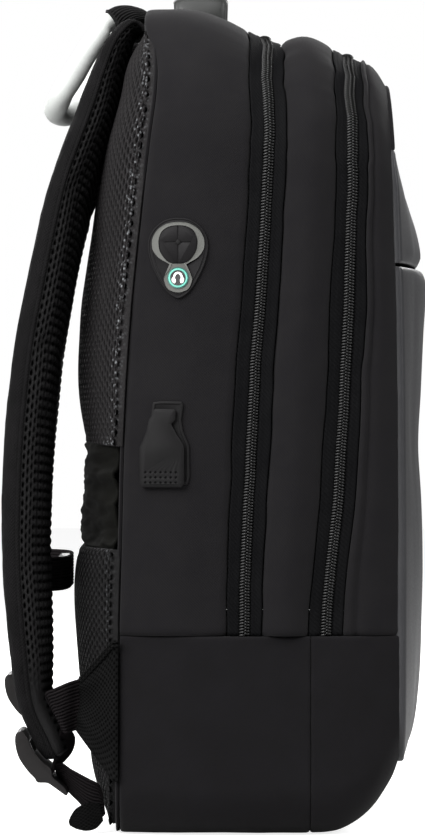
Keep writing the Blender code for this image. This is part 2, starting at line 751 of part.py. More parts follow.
def build_band(group):
    """The band between the pads: a bridge of cloth, sewn at its two ends and open behind."""
    rows = []
    for row in BAND:
        line = []
        for i in range(PAD_COLUMNS + 1):
            across = sin((i / PAD_COLUMNS - 0.5) * pi)
            face = pad_face(row, across, GAP + BAND_THICKNESS)
            line.append(Vector((row.half_width * across, face, row.z)))
        rows.append(line)
    add_wall("luggage_band", rows, BAND_THICKNESS, "matte_cloth", group)


def sweep_rings(path, half_widths, half_heights, rolls, sides, fullness, across_hint):
    """Rings of a soft flat bar along a path: a rounded rectangle across it at each point."""
    rings = []
    for i, point in enumerate(path):
        ahead = path[min(i + 1, len(path) - 1)]
        behind = path[max(i - 1, 0)]
        along = (ahead - behind).normalized()
        across = (across_hint - along * across_hint.dot(along)).normalized()
        across = Matrix.Rotation(rolls[i], 3, along) @ across
        normal = along.cross(across)
        ring = []
        for k in range(sides):
            angle = (k + 0.5) / sides * 2 * pi
            c, s = cos(angle), sin(angle)
            reach = (abs(c) ** fullness + abs(s) ** fullness) ** (-1.0 / fullness)
            out = across * (half_widths[i] * c * reach)
            ring.append(point + out + normal * (half_heights[i] * s * reach))
        rings.append(ring)
    return rings


def far_shift(z):
    """How far the far strap's points are moved, by height: none above, all of it at the end."""
    return Vector((0.0, smooth_value(FAR_SHIFT, "back", z), smooth_value(FAR_SHIFT, "up", z)))


def build_shoulder_strap(name, side, group):
    """A padded shoulder strap: flat where it is sewn on, full along its length, round at its end."""
    path = []
    for row in STRAP:
        point = Vector((side * row.x, row.y, row.z))
        if side > 0:
            point += far_shift(row.z)
        path.append(point)
    roll = FAR_ROLL if side > 0 else STRAP_ROLL
    rolls = [roll * min(1.0, i / 4) for i in range(len(STRAP))]
    rings = sweep_rings(
        path,
        [row.width / 2 for row in STRAP],
        [row.thickness / 2 for row in STRAP],
        rolls,
        STRAP_SIDES,
        STRAP_FULLNESS,
        Vector((1.0, 0.0, 0.0)),
    )
    mesh = grid_mesh(name, rings, closed=True, capped=True)
    add_object(name, mesh, "air_mesh", group)


def smooth_path(points, steps):
    """Points on a smooth curve through some points, a few between each two."""
    path = []
    for i in range(len(points) - 1):
        p0 = points[max(i - 1, 0)]
        p1, p2 = points[i], points[i + 1]
        p3 = points[min(i + 2, len(points) - 1)]
        for k in range(steps):
            t = k / steps
            path.append(
                0.5
                * (
                    2 * p1
                    + (p2 - p0) * t
                    + (2 * p0 - 5 * p1 + 4 * p2 - p3) * t**2
                    + (3 * p1 - p0 - 3 * p2 + p3) * t**3
                )
            )
    path.append(points[-1])
    return path


def web_solid(name, table, side, thickness, group, steps=1):
    """A flat band of webbing through its rows, the same thickness all along."""
    centres = smooth_path([Vector((side * row.x, row.y, row.z)) for row in table], steps)
    halves = [Vector((side * row.across_x, row.across_y, row.across_z)) for row in table]
    halves = smooth_path(halves, steps)
    rings = []
    for i, (centre, half) in enumerate(zip(centres, halves)):
        along = (centres[min(i + 1, len(centres) - 1)] - centres[max(i - 1, 0)]).normalized()
        normal = along.cross(half).normalized() * (thickness / 2)
        rings.append(
            [
                centre + half + normal,
                centre - half + normal,
                centre - half - normal,
                centre + half - normal,
            ]
        )
    mesh = grid_mesh(name, rings, closed=True, capped=True)
    work = bmesh.new()
    work.from_mesh(mesh)
    bmesh.ops.triangulate(work, faces=work.faces)
    work.to_mesh(mesh)
    work.free()
    add_object(name, mesh, "webbing", group)


def build_lower_webbing(tag, side, group):
    """The webbing from the cloth triangle to the buckle, and its free tail below it."""
    webbing, tail = (FAR_WEBBING, FAR_TAIL) if side > 0 else (WEBBING, TAIL)
    web_solid("strap_webbing_" + tag, webbing, side, WEBBING_THICKNESS, group, WEB_STEPS)
    web_solid("strap_tail_" + tag, tail, side, WEBBING_THICKNESS, group, WEB_STEPS)


def build_wing(tag, side, group):
    """The cloth triangle that joins the webbing to the back's lower corner."""
    rows = []
    for seam, tip in zip(WING_SEAM, WING_TIP):
        start = Vector((side * seam.x, seam.y, seam.z))
        end = Vector((side * tip.x, tip.y, tip.z))
        bend = start + WING_FLAT
        rows.append([start] + [bend.lerp(end, i / WING_STEPS) for i in range(WING_STEPS + 1)])
    add_wall("strap_wing_" + tag, rows, WING_THICKNESS, "base_cloth", group)


def outline_solid(name, outline, width, place):
    """A flat outline given a width: a filled 2D curve, made a mesh and put in its place."""
    flat = bpy.data.curves.new(name + "_outline", "CURVE")
    flat.dimensions = "2D"
    flat.fill_mode = "BOTH"
    flat.extrude = width / 2
    spline = flat.splines.new("POLY")
    spline.points.add(len(outline) - 1)
    for point, (a, b) in zip(spline.points, outline):
        point.co = (a, b, 0.0, 1.0)
    spline.use_cyclic_u = True
    guide = bpy.data.objects.new(name + "_outline", flat)
    bpy.context.scene.collection.objects.link(guide)
    bpy.context.view_layer.update()
    evaluated = guide.evaluated_get(bpy.context.evaluated_depsgraph_get())
    mesh = bpy.data.meshes.new_from_object(evaluated)
    bpy.data.objects.remove(guide, do_unlink=True)
    mesh.name = name
    mesh.transform(place)
    work = bmesh.new()
    work.from_mesh(mesh)
    bmesh.ops.remove_doubles(work, verts=work.verts, dist=0.00001)
    bmesh.ops.recalc_face_normals(work, faces=work.faces)
    work.to_mesh(mesh)
    work.free()
    return mesh


# A 2D curve's x and y become the object's Y and Z, and its thickness runs along X.
SIDE_PLANE = Matrix(((0, 0, 1, 0), (1, 0, 0, 0), (0, 1, 0, 0), (0, 0, 0, 1)))


def build_ladder_lock(tag, side, group, cutters):
    """The strap's buckle: a bent plate with a window that the webbing passes."""
    shift = far_shift(0.0) if side > 0 else Vector()
    name = "ladder_lock_" + tag
    middle = Vector((side * LOCK_X, 0.0, 0.0)) + shift
    mesh = outline_solid(name, LOCK_OUTLINE, LOCK_WIDTH, Matrix.Translation(middle) @ SIDE_PLANE)
    lock = add_object(name, mesh, "buckle_plastic", group)
    y, z = LOCK_WINDOW_PLACE
    bpy.ops.mesh.primitive_cube_add(size=1.0, location=(side * LOCK_X, y + shift.y, z + shift.z))
    window = bpy.context.object
    window.name = name + "_window"
    window.scale = LOCK_WINDOW
    window.rotation_euler = (-LOCK_WINDOW_TILT, 0.0, 0.0)
    window.hide_render = True
    window.display_type = "WIRE"
    for holder in list(window.users_collection):
        holder.objects.unlink(window)
    cutters.objects.link(window)
    cut = lock.modifiers.new("Window", "BOOLEAN")
    cut.operation = "DIFFERENCE"
    cut.object = window


def build_chest_strap(group):
    """The strap across the chest with its closed clasp, one band from strap to strap."""
    table = [WebRow(row.x, row.y, CHEST_Z, 0.0, 0.0, CHEST_WIDTH / 2) for row in CHEST]
    web_solid("chest_strap", table, 1, CHEST_THICKNESS, group)
    length, depth, height = CLASP_SIZE
    y = CHEST_MIDDLE_Y + CHEST_THICKNESS / 2 + GAP + depth / 2
    bpy.ops.mesh.primitive_cube_add(size=1.0, location=(0.0, y, CHEST_Z))
    box = bpy.context.object
    mesh = box.data.copy()
    mesh.transform(Matrix.Translation(box.location) @ Matrix.Diagonal((length, depth, height, 1.0)))
    bpy.data.objects.remove(box, do_unlink=True)
    clasp = add_object("chest_clasp", mesh, "buckle_plastic", group)
    edge = clasp.modifiers.new("Edge", "BEVEL")
    edge.width = 0.0018
    edge.segments = 2


def build_hang_loop(group):
    """The white loop behind the top, a round tube, and the mesh sleeves that hold its two ends."""
    near = [Vector((-row.x, row.y, row.z)) for row in HANG_LOOP]
    far = [Vector((-p.x, p.y, p.z)) for p in reversed(near)]
    path = smooth_path(near + far, 2)
    tube = bpy.data.curves.new("hang_loop", "CURVE")
    tube.dimensions = "3D"
    tube.bevel_depth = LOOP_RADIUS
    tube.bevel_resolution = 3
    tube.use_fill_caps = True
    spline = tube.splines.new("POLY")
    spline.points.add(len(path) - 1)
    for point, place in zip(spline.points, path):
        point.co = (*place, 1.0)
    own = finish_material("white_satin").copy()
    own.name = "hang_loop_white_satin"
    tube.materials.append(own)
    group.objects.link(bpy.data.objects.new("hang_loop", tube))
    for tag, side in (("left", -1), ("right", 1)):
        path = [Vector((side * row.x, row.y, row.z)) for row in ANCHOR_ROWS]
        rings = sweep_rings(
            path,
            [row.width / 2 for row in ANCHOR_ROWS],
            [row.thickness / 2 for row in ANCHOR_ROWS],
            [0.0] * len(path),
            10,
            2.4,
            Vector((1.0, 0.0, 0.0)),
        )
        name = "hang_loop_sleeve_" + tag
        mesh = grid_mesh(name, rings, closed=True, capped=True)
        add_object(name, mesh, "air_mesh", group)


def build_top_handle(group):
    """The carry handle, a low smooth arch across the top with room for fingers under it."""
    half = list(HANDLE)
    rows = [row._replace(x=-row.x) for row in reversed(half)] + half[1:]
    path = [Vector((row.x, row.y, row.z)) for row in rows]
    rings = sweep_rings(
        path,
        [row.width / 2 for row in rows],
        [row.thickness / 2 for row in rows],
        [row.tilt for row in rows],
        14,
        2.6,
        Vector((0.0, 1.0, 0.0)),
    )
    mesh = grid_mesh("top_handle", rings, closed=True, capped=True)
    add_object("top_handle", mesh, "handle_rubber", group)


def side_reach(y, z):
    """How far out the rear gusset's side is at a place on it."""
    first = smooth_value(SEAMS, "back", z)
    last = smooth_value(SEAMS, "rear_in", z)
    t = min(max((first - y) / (first - last), 0.0), 1.0)
    half_width = mix(ARCHES["back"].half_width, ARCHES["rear_in"].half_width, t)
    top = mix(ARCHES["back"].top, ARCHES["rear_in"].top, t)
    half_width -= SIDE_TAPER * max(0.0, (z - HEM_HEIGHT) / (top - HEM_HEIGHT)) ** 2
    return half_width + GUSSETS[0].bulge * sin(pi * t)


def patch_mesh(name, outline, lift, rings):
    """A flat patch on the near side that follows the gusset: rings of points in to its middle."""
    centre_y = sum(p[0] for p in outline) / len(outline)
    centre_z = sum(p[1] for p in outline) / len(outline)
    work = bmesh.new()
    lines = []
    for k in range(rings):
        scale = 1.0 - k / rings
        line = []
        for y, z in outline:
            yy = mix(centre_y, y, scale)
            zz = mix(centre_z, z, scale)
            line.append(work.verts.new((-(side_reach(yy, zz) + lift), yy, zz)))
        lines.append(line)
    middle = work.verts.new((-(side_reach(centre_y, centre_z) + lift), centre_y, centre_z))
    count = len(outline)
    for line, inner in zip(lines, lines[1:]):
        for i in range(count):
            j = (i + 1) % count
            work.faces.new((line[i], line[j], inner[j], inner[i]))
    for i in range(count):
        work.faces.new((lines[-1][i], lines[-1][(i + 1) % count], middle))
    work.normal_update()
    mesh = bpy.data.meshes.new(name)
    work.to_mesh(mesh)
    work.free()
    return mesh


def add_patch(name, outline, lift, thickness, finish, group, rings=3):
    """A patch on the near side, given its thickness outwards."""
    mesh = patch_mesh(name, outline, lift, rings)
    turn_outwards(mesh, Vector((0.0, 0.02, 0.3)))
    made = add_object(name, mesh, finish, group)
    wall = made.modifiers.new("Wall", "SOLIDIFY")
    wall.thickness = thickness
    wall.offset = 1.0
    wall.use_even_offset = True
    return made


def fine_outline(points, step):
    """The same outline with its long edges cut in pieces no longer than a step."""
    result = []
    for i, (a, b) in enumerate(points):
        c, d = points[(i + 1) % len(points)]
        pieces = max(1, round(((c - a) ** 2 + (d - b) ** 2) ** 0.5 / step))
        result += [(mix(a, c, k / pieces), mix(b, d, k / pieces)) for k in range(pieces)]
    return result


def oval_outline(centre, radii, count):
    """An oval's points as an outline."""
    y, z = centre
    angles = [i / count * 2 * pi for i in range(count)]
    return [(y + radii[0] * cos(a), z + radii[1] * sin(a)) for a in angles]


def teardrop_outline():
    """The headphone patch: round above and drawn in to a round tip below."""
    centre_y, centre_z = HEADPHONE_CENTRE
    half_y, half_z = HEADPHONE_HALF
    tip_drop = centre_z - HEADPHONE_TIP[1]
    points = []
    for i in range(20):
        angle = i / 20 * 2 * pi
        up = sin(angle)
        narrow = 1.0 if up > 0 else 1.0 - 0.62 * (-up) ** 1.3
        rise = half_z * up if up > 0 else tip_drop * up
        points.append((centre_y + half_y * narrow * cos(angle), centre_z + rise))
    return points


def add_side_ring(name, centre, outer, inner, lift, thickness, finish, group):
    """A flat ring that follows the near side, given its thickness outwards."""
    rows = []
    for t in (0.0, 0.5, 1.0):
        radii = [mix(a, b, t) for a, b in zip(outer, inner)]
        line = oval_outline(centre, radii, 28)
        rows.append([Vector((-(side_reach(y, z) + lift), y, z)) for y, z in line])
    mesh = grid_mesh(name, rows, closed=True)
    turn_outwards(mesh, Vector((0.0, *centre)))
    made = add_object(name, mesh, finish, group)
    wall = made.modifiers.new("Wall", "SOLIDIFY")
    wall.thickness = thickness
    wall.offset = 1.0


def build_ports(group):
    """The headphone port and the covered cable port on the near side."""
    lift = 2 * GAP
    add_patch("headphone_patch", teardrop_outline(), lift, PORT_THICKNESS, "port_rubber", group)
    surface = lift + PORT_THICKNESS + 1.5 * GAP
    shape = (RING_CENTRE, RING_OUTER, RING_INNER)
    add_side_ring("headphone_ring", *shape, surface, RING_THICKNESS, "ring_rubber", group)
    badge = oval_outline(BADGE_CENTRE, BADGE_RADII, 20)
    add_patch("headphone_badge", badge, surface, BADGE_DEPTH, "badge_teal", group, rings=2)
    base = fine_outline(USB_BASE_OUTLINE, PORT_STEP)
    add_patch("usb_base", base, lift, USB_BASE_THICKNESS, "port_rubber", group)
    cover = fine_outline(USB_COVER_OUTLINE, PORT_STEP)
    over = lift + USB_BASE_THICKNESS + 1.5 * GAP
    add_patch("usb_cover", cover, over, USB_COVER_THICKNESS, "port_rubber", group)


def build_sliders(group):
    """One slider with its tab on each zip, on the far side."""
    for wall in TAPES:
        middle = mix(
            smooth_value(SEAMS, wall.first, SLIDER_Z), smooth_value(SEAMS, wall.last, SLIDER_Z), 0.5
        )
        arch = Arch(*(mix(a, b, 0.5) for a, b in zip(ARCHES[wall.first], ARCHES[wall.last])))
        t = (SLIDER_Z - HEM_HEIGHT) / (arch.top - arch.corner - HEM_HEIGHT)
        x = wall_point(wall.first, wall.last, wall.bulge, 0.5, (1, "side", min(t, 1.0))).x
        place = Matrix.Translation((x + CHAIN_HEIGHT + 4 * GAP + SLIDER_THICKNESS / 2, middle, SLIDER_Z))
        name = wall.name.replace("tape", "slider")
        mesh = outline_solid(name, SLIDER_OUTLINE, SLIDER_THICKNESS, place @ SIDE_PLANE)
        add_object(name, mesh, "slider_metal", group)


def main():
    """Build the backpack's parts in order, from the body to the small pieces."""
    clear_scene()
    parts = new_collection("laptop_backpack")
    cutters = new_collection("cutters")
    build_gussets(parts)
    build_chains(parts)
    build_base(parts)
    build_face(parts)
    build_back_panel(parts)
    build_pads(parts)
    build_band(parts)
    for tag, side in (("left", -1), ("right", 1)):
        build_shoulder_strap("shoulder_strap_" + tag, side, parts)
        build_wing(tag, side, parts)
        build_lower_webbing(tag, side, parts)
        build_ladder_lock(tag, side, parts, cutters)
    build_chest_strap(parts)
    build_hang_loop(parts)
    build_top_handle(parts)
    build_ports(parts)
    build_sliders(parts)


main()
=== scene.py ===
"""Laptop backpack that stands on its base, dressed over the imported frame.

Metres, +Z up. The front faces -Y, the padded back and the straps face +Y, and the side with the two
cable ports faces -X, towards the camera. Near means the -X side and far means the +X side.
"""

import logging
import math
from dataclasses import dataclass, field
from enum import Enum
from typing import Any, Sequence

import bpy
import numpy as np
from mathutils import Matrix, Vector


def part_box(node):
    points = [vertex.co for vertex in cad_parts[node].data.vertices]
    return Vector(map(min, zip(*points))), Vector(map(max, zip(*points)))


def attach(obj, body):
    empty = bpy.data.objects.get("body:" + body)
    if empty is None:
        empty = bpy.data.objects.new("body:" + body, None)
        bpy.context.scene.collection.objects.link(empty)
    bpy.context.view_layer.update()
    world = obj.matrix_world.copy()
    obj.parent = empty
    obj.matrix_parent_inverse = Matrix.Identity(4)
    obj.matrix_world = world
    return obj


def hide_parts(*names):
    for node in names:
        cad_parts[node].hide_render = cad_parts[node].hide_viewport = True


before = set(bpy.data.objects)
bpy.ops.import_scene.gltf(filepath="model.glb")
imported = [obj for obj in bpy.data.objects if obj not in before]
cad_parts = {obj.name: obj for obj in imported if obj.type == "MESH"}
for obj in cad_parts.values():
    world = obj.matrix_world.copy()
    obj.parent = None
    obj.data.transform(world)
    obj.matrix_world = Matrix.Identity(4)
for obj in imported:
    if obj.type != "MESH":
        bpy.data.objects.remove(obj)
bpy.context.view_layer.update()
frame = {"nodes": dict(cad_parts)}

LOG = logging.getLogger("backpack")
ROOT = "root"
CLOTH_UV = "cloth"
Array = np.ndarray
Object = bpy.types.Object
Rows = Sequence[Sequence[float]]
MM = 0.001
PI = math.pi


# ---------------------------------------------------------------- numbers and curves


def mix(first: Any, second: Any, t: Any) -> Any:
    """Straight mix of two numbers or arrays."""
    return first + (second - first) * t


def smooth_step(low: float, high: float, value: Any) -> Array:
    """0 below low, 1 above high, and a soft rise between them."""
    t = np.clip((np.asarray(value, float) - low) / (high - low), 0.0, 1.0)
    return t * t * (3.0 - 2.0 * t)


def through(keys: Sequence[float], values: Any, at: Any) -> Array:
    """Values on a smooth curve through table rows, level past its ends.

    Args:
        keys: the rows' keys, rising.
        values: one value, or one row of values, for each key.
        at: where the curve is read.

    Returns:
        The values there.
    """
    keys = np.asarray(keys, float)
    values = np.asarray(values, float)
    at = np.clip(np.asarray(at, float), keys[0], keys[-1])
    last = len(keys) - 1
    low = np.clip(np.searchsorted(keys, at, side="right") - 1, 0, last - 1)
    high = low + 1
    before, after = np.maximum(low - 1, 0), np.minimum(high + 1, last)
    wide = values.ndim > 1
    span = keys[high] - keys[low]

    def spread(x: Array) -> Array:
        """The same numbers with room for a row of values."""
        return x[..., None] if wide else x

    slope_low = (values[high] - values[before]) / spread(keys[high] - keys[before]) * spread(span)
    slope_high = (values[after] - values[low]) / spread(keys[after] - keys[low]) * spread(span)
    t = spread((at - keys[low]) / span)
    return (
        (2 * t**3 - 3 * t**2 + 1) * values[low]
        + (t**3 - 2 * t**2 + t) * slope_low
        + (3 * t**2 - 2 * t**3) * values[high]
        + (t**3 - t**2) * slope_high
    )


def refine(points: Array, steps: int, wrap: bool = False) -> Array:
    """Points on smooth curves through the rows of an array, a few for each step.

    Args:
        points: rows of anything, as an array.
        steps: how many new rows each step is cut in.
        wrap: whether the last row is followed by the first.

    Returns:
        The finer rows.
    """
    count = len(points)
    if wrap:
        index = np.arange(count)
        p0, p1, p2, p3 = (points[(index + k) % count] for k in (-1, 0, 1, 2))
    else:
        index = np.arange(count - 1)
        p0, p1, p2, p3 = (points[np.clip(index + k, 0, count - 1)] for k in (-1, 0, 1, 2))
    made = []
    for k in range(steps):
        t = k / steps
        made.append(
            0.5
            * (
                2 * p1
                + (p2 - p0) * t
                + (2 * p0 - 5 * p1 + 4 * p2 - p3) * t**2
                + (3 * p1 - p0 - 3 * p2 + p3) * t**3
            )
        )
    fine = np.stack(made, axis=1).reshape(-1, *points.shape[1:])
    return fine if wrap else np.concatenate([fine, points[-1:]])


def refine_grid(points: Array, down: int, across: int, wrap: bool = False) -> Array:
    """A finer grid of points through a coarse one."""
    fine = refine(points, down)
    return np.swapaxes(refine(np.swapaxes(fine, 0, 1), across, wrap), 0, 1)


def lengths(path: Array) -> Array:
    """How far along a path each of its points is."""
    steps = np.linalg.norm(np.diff(path, axis=0), axis=-1)
    return np.concatenate([[0.0], np.cumsum(steps)])


def spaced(path: Array, step: float) -> Array:
    """Points at even steps along a path."""
    along = lengths(path)
    count = max(2, int(round(along[-1] / step)) + 1)
    at = np.linspace(0.0, along[-1], count)
    return np.stack([np.interp(at, along, path[:, i]) for i in range(path.shape[1])], axis=1)


def unit(vectors: Array) -> Array:
    """The same vectors, each one long."""
    size = np.linalg.norm(vectors, axis=-1, keepdims=True)
    return vectors / np.maximum(size, 1e-12)


class Ripple:
    """A smooth random surface over a plane, the same on each run."""

    SIZE = 64

    def __init__(self, seed: int) -> None:
        """Draw the heights at whole numbers."""
        self.heights = np.random.RandomState(seed).uniform(-1.0, 1.0, (self.SIZE, self.SIZE))

    def at(self, u: Any, v: Any) -> Array:
        """The height at a place, from -1 to 1."""
        u, v = np.broadcast_arrays(np.asarray(u, float), np.asarray(v, float))
        i, j = np.floor(u).astype(int), np.floor(v).astype(int)
        fu, fv = u - i, v - j
        fu, fv = fu**2 * (3 - 2 * fu), fv**2 * (3 - 2 * fv)
        a, b, c, d = (
            self.heights[(i + p) % self.SIZE, (j + q) % self.SIZE] for p, q in ((0, 0), (1, 0), (0, 1), (1, 1))
        )
        return mix(mix(a, b, fu), mix(c, d, fu), fv)

    def rough(self, u: Any, v: Any, octaves: int = 3) -> Array:
        """Heights with finer and finer detail."""
        total = 0.0
        for k in range(octaves):
            total = total + self.at(u * 2**k + 7.3 * k, v * 2**k + 3.1 * k) / 2**k
        return total


# ---------------------------------------------------------------- finishes


def linear(code: str) -> tuple[float, float, float, float]:
    """An sRGB hex colour as linear numbers."""
    parts = [int(code[i : i + 2], 16) / 255.0 for i in (0, 2, 4)]
    red, green, blue = (p / 12.92 if p <= 0.04045 else ((p + 0.055) / 1.055) ** 2.4 for p in parts)
    return (red, green, blue, 1.0)


def put(
    tree: bpy.types.NodeTree,
    kind: str,
    inputs: dict[Any, Any] | None = None,
    **settings: Any,
) -> bpy.types.Node:
    """Add a node with its settings, its values and its links.

    Args:
        tree: the node tree.
        kind: the node's type.
        inputs: a value or another node's output for each named or numbered input.
        settings: the node's own properties.

    Returns:
        The node.
    """
    node = tree.nodes.new(kind)
    for name, value in settings.items():
        setattr(node, name, value)
    for name, value in (inputs or {}).items():
        if isinstance(value, bpy.types.NodeSocket):
            tree.links.new(value, node.inputs[name])
        else:
            node.inputs[name].default_value = value
    return node


def sums(tree: bpy.types.NodeTree, operation: str, *values: Any) -> bpy.types.NodeSocket:
    """The result of a math node with these values or outputs."""
    return put(tree, "ShaderNodeMath", dict(enumerate(values)), operation=operation).outputs[0]


def spread_over(
    tree: bpy.types.NodeTree, value: bpy.types.NodeSocket, low: float, high: float, to: tuple[float, float] = (0.0, 1.0)
) -> bpy.types.NodeSocket:
    """A value mapped from low and high to two other numbers, and held between them."""
    ends = {"Value": value, "From Min": low, "From Max": high, "To Min": to[0], "To Max": to[1]}
    return put(tree, "ShaderNodeMapRange", ends).outputs[0]


def noise(tree: bpy.types.NodeTree, scale: float, detail: float, roughness: float) -> bpy.types.NodeSocket:
    """Soft noise on the object's own coordinates, from 0 to 1."""
    place = put(tree, "ShaderNodeTexCoord").outputs["Object"]
    looks = {"Vector": place, "Scale": scale, "Detail": detail, "Roughness": roughness}
    return put(tree, "ShaderNodeTexNoise", looks).outputs[0]


def blend(tree: bpy.types.NodeTree, factor: bpy.types.NodeSocket, dark: Any, light: Any) -> bpy.types.NodeSocket:
    """A mix of two colours, where inputs 6 and 7 of the mix node are the colours."""
    return put(tree, "ShaderNodeMix", {0: factor, 6: dark, 7: light}, data_type="RGBA").outputs[2]


def threads(tree: bpy.types.NodeTree, turn: float) -> list[bpy.types.NodeSocket]:
    """The cloth map's two axes, each times turn."""
    place = put(tree, "ShaderNodeUVMap", uv_map=CLOTH_UV).outputs[0]
    axes = put(tree, "ShaderNodeSeparateXYZ", {0: place}).outputs
    return [sums(tree, "MULTIPLY", axes[k], turn) for k in (0, 1)]


def bump(
    tree: bpy.types.NodeTree, height: bpy.types.NodeSocket, depth: float, strength: float = 1.0, under: Any = None
) -> bpy.types.NodeSocket:
    """A normal from a height, on top of another normal where one is given."""
    inputs = {"Strength": strength, "Distance": depth, "Height": height}
    if under is not None:
        inputs["Normal"] = under
    return put(tree, "ShaderNodeBump", inputs).outputs[0]


class Weave(Enum):
    """How a cloth's threads cross."""

    PLAIN = "plain"
    TWILL = "twill"
    RIB = "rib"


class Finish:
    """A material that is made when it is first asked for."""

    name: str

    def fill(self, tree: bpy.types.NodeTree) -> dict[str, Any]:
        """The shader's inputs by name, as values or outputs of nodes in the tree."""
        raise NotImplementedError

    def material(self) -> bpy.types.Material:
        """The finish as a material, made once."""
        found = bpy.data.materials.get(self.name)
        if found:
            return found
        made = bpy.data.materials.new(self.name)
        made.use_nodes = True
        tree = made.node_tree
        shader = tree.nodes["Principled BSDF"]
        for key, value in self.fill(tree).items():
            if isinstance(value, bpy.types.NodeSocket):
                tree.links.new(value, shader.inputs[key])
            else:
                shader.inputs[key].default_value = value
        return made


@dataclass(frozen=True)
class Cloth(Finish):
    """A woven finish, drawn along the piece's own cloth map, in metres."""

    name: str
    slot: str
    dark: str
    light: str
    weave: Weave
    thread: float
    relief: float
    roughness: float = 0.85
    specular: float = 0.25
    sheen: float = 0.0
    sheen_roughness: float = 0.5
    mottle: float = 0.020
    gap_shade: float = 0.35

    FUZZ_SCALE = 900.0
    SLANT = 0.55
    DEEP_GAPS = 0.5
    SHINE_ON_THREADS = 1.35

    def height(self, tree: bpy.types.NodeTree) -> bpy.types.NodeSocket:
        """The weave's height, from 0 to 1, from the cloth map."""
        u, v = threads(tree, PI / self.thread)
        if self.weave is Weave.RIB:
            ribs = sums(tree, "ABSOLUTE", sums(tree, "SINE", u))
            slant = sums(tree, "SINE", sums(tree, "MULTIPLY_ADD", v, 2.0, u))
            return sums(tree, "MAXIMUM", ribs, sums(tree, "MULTIPLY", slant, self.SLANT))
        if self.weave is Weave.TWILL:
            wave = sums(tree, "SINE", sums(tree, "ADD", u, v))
        else:
            wave = sums(tree, "MULTIPLY", sums(tree, "SINE", u), sums(tree, "SINE", v))
        return sums(tree, "MULTIPLY_ADD", wave, 0.5, 0.5)

    def fill(self, tree: bpy.types.NodeTree) -> dict[str, Any]:
        """Mottled threads with painted shade in the gaps between them, and fuzz over the weave."""
        height = self.height(tree)
        cloud = noise(tree, 1.0 / self.mottle, 5.0, 0.6)
        fuzz = noise(tree, self.FUZZ_SCALE, 2.0, 0.7)
        tone = spread_over(tree, sums(tree, "ADD", cloud, fuzz), 0.65, 1.35)
        colour = blend(tree, tone, linear(self.dark), linear(self.light))
        # Painted shade: the colour is scaled down where the weave is low, by gap_shade.
        sunk = spread_over(tree, height, 0.0, 0.6, (1.0 - self.gap_shade, 1.0))
        shaded = put(tree, "ShaderNodeVectorMath", {0: colour, "Scale": sunk}, operation="SCALE").outputs[0]
        ends = (max(0.0, self.roughness - 0.06), min(1.0, self.roughness + 0.06))
        specular = self.specular
        if self.gap_shade > self.DEEP_GAPS:
            specular = sums(tree, "MULTIPLY", sunk, self.SHINE_ON_THREADS * self.specular)
        return {
            "Base Color": shaded,
            "Roughness": spread_over(tree, fuzz, 0.3, 0.7, ends),
            "Normal": bump(tree, fuzz, self.relief * 0.8, 0.6, bump(tree, height, self.relief)),
            "Specular IOR Level": specular,
            "Sheen Weight": self.sheen,
            "Sheen Roughness": self.sheen_roughness,
        }


@dataclass(frozen=True)
class Mesh3D(Finish):
    """Spacer mesh: knitted threads over open cells; the cells are in the piece's own shape."""

    name: str
    slot: str
    dark: str
    light: str
    painted_highlight: str
    thread: float
    relief: float

    FUZZ_SCALE = 700.0
    SPECK_SCALE = 420.0
    SPECULAR = 0.14

    def fill(self, tree: bpy.types.NodeTree) -> dict[str, Any]:
        """Fuzzy threads, with painted highlights in specks along a band of strands, and painted shade that darkens the
        cells, which are also dull.
        """
        u, v = threads(tree, 2.0 * PI / self.thread)
        knit = sums(tree, "MULTIPLY", sums(tree, "SINE", u), sums(tree, "SINE", v))
        height = sums(tree, "MULTIPLY_ADD", knit, 0.5, 0.5)
        hole, painted_highlight_band = (
            put(tree, "ShaderNodeAttribute", attribute_name=name).outputs["Fac"] for name in ("cell", "painted_highlight_band")
        )
        fuzz = noise(tree, self.FUZZ_SCALE, 3.0, 0.75)
        # Painted shade: in the cells the colour goes to the dark colour.
        open_part = sums(tree, "SUBTRACT", 1.0, hole)
        lit = sums(tree, "MULTIPLY", open_part, fuzz)
        colour = blend(tree, lit, linear(self.dark), linear(self.light))
        # Painted highlights: specks of the highlight colour on the band of strands.
        spot = put(tree, "ShaderNodeTexCoord").outputs["Object"]
        looks = {"Vector": spot, "Scale": self.SPECK_SCALE, "Randomness": 1.0}
        apart = put(tree, "ShaderNodeTexVoronoi", looks).outputs["Distance"]
        speck = spread_over(tree, apart, 0.42, 0.12)
        shine = sums(tree, "MULTIPLY", sums(tree, "MULTIPLY", painted_highlight_band, speck), open_part)
        return {
            "Base Color": blend(tree, shine, colour, linear(self.painted_highlight)),
            "Roughness": spread_over(tree, lit, 0.0, 0.7, (0.95, 0.62)),
            "Normal": bump(tree, fuzz, self.relief, 0.8, bump(tree, height, self.relief)),
            "Specular IOR Level": spread_over(tree, open_part, 0.0, 1.0, (0.0, self.SPECULAR)),
        }


@dataclass(frozen=True)
class Moulded(Finish):
    """A moulded, coated or cast finish with a fine surface grain."""

    name: str
    slot: str
    dark: str
    light: str
    roughness: float
    grain: float
    relief: float
    specular: float = 0.5
    metallic: float = 0.0
    spread: float = 0.08

    BROAD_SCALE = 90.0

    def fill(self, tree: bpy.types.NodeTree) -> dict[str, Any]:
        """Broad tones with a fine grain over them."""
        fine = noise(tree, 1.0 / self.grain, 3.0, 0.6)
        broad = noise(tree, self.BROAD_SCALE, 4.0, 0.65)
        ends = (max(0.02, self.roughness - self.spread), min(1.0, self.roughness + self.spread))
        return {
            "Base Color": blend(tree, broad, linear(self.dark), linear(self.light)),
            "Roughness": spread_over(tree, broad, 0.3, 0.7, ends),
            "Normal": bump(tree, fine, self.relief),
            "Specular IOR Level": self.specular,
            "Metallic": self.metallic,
        }


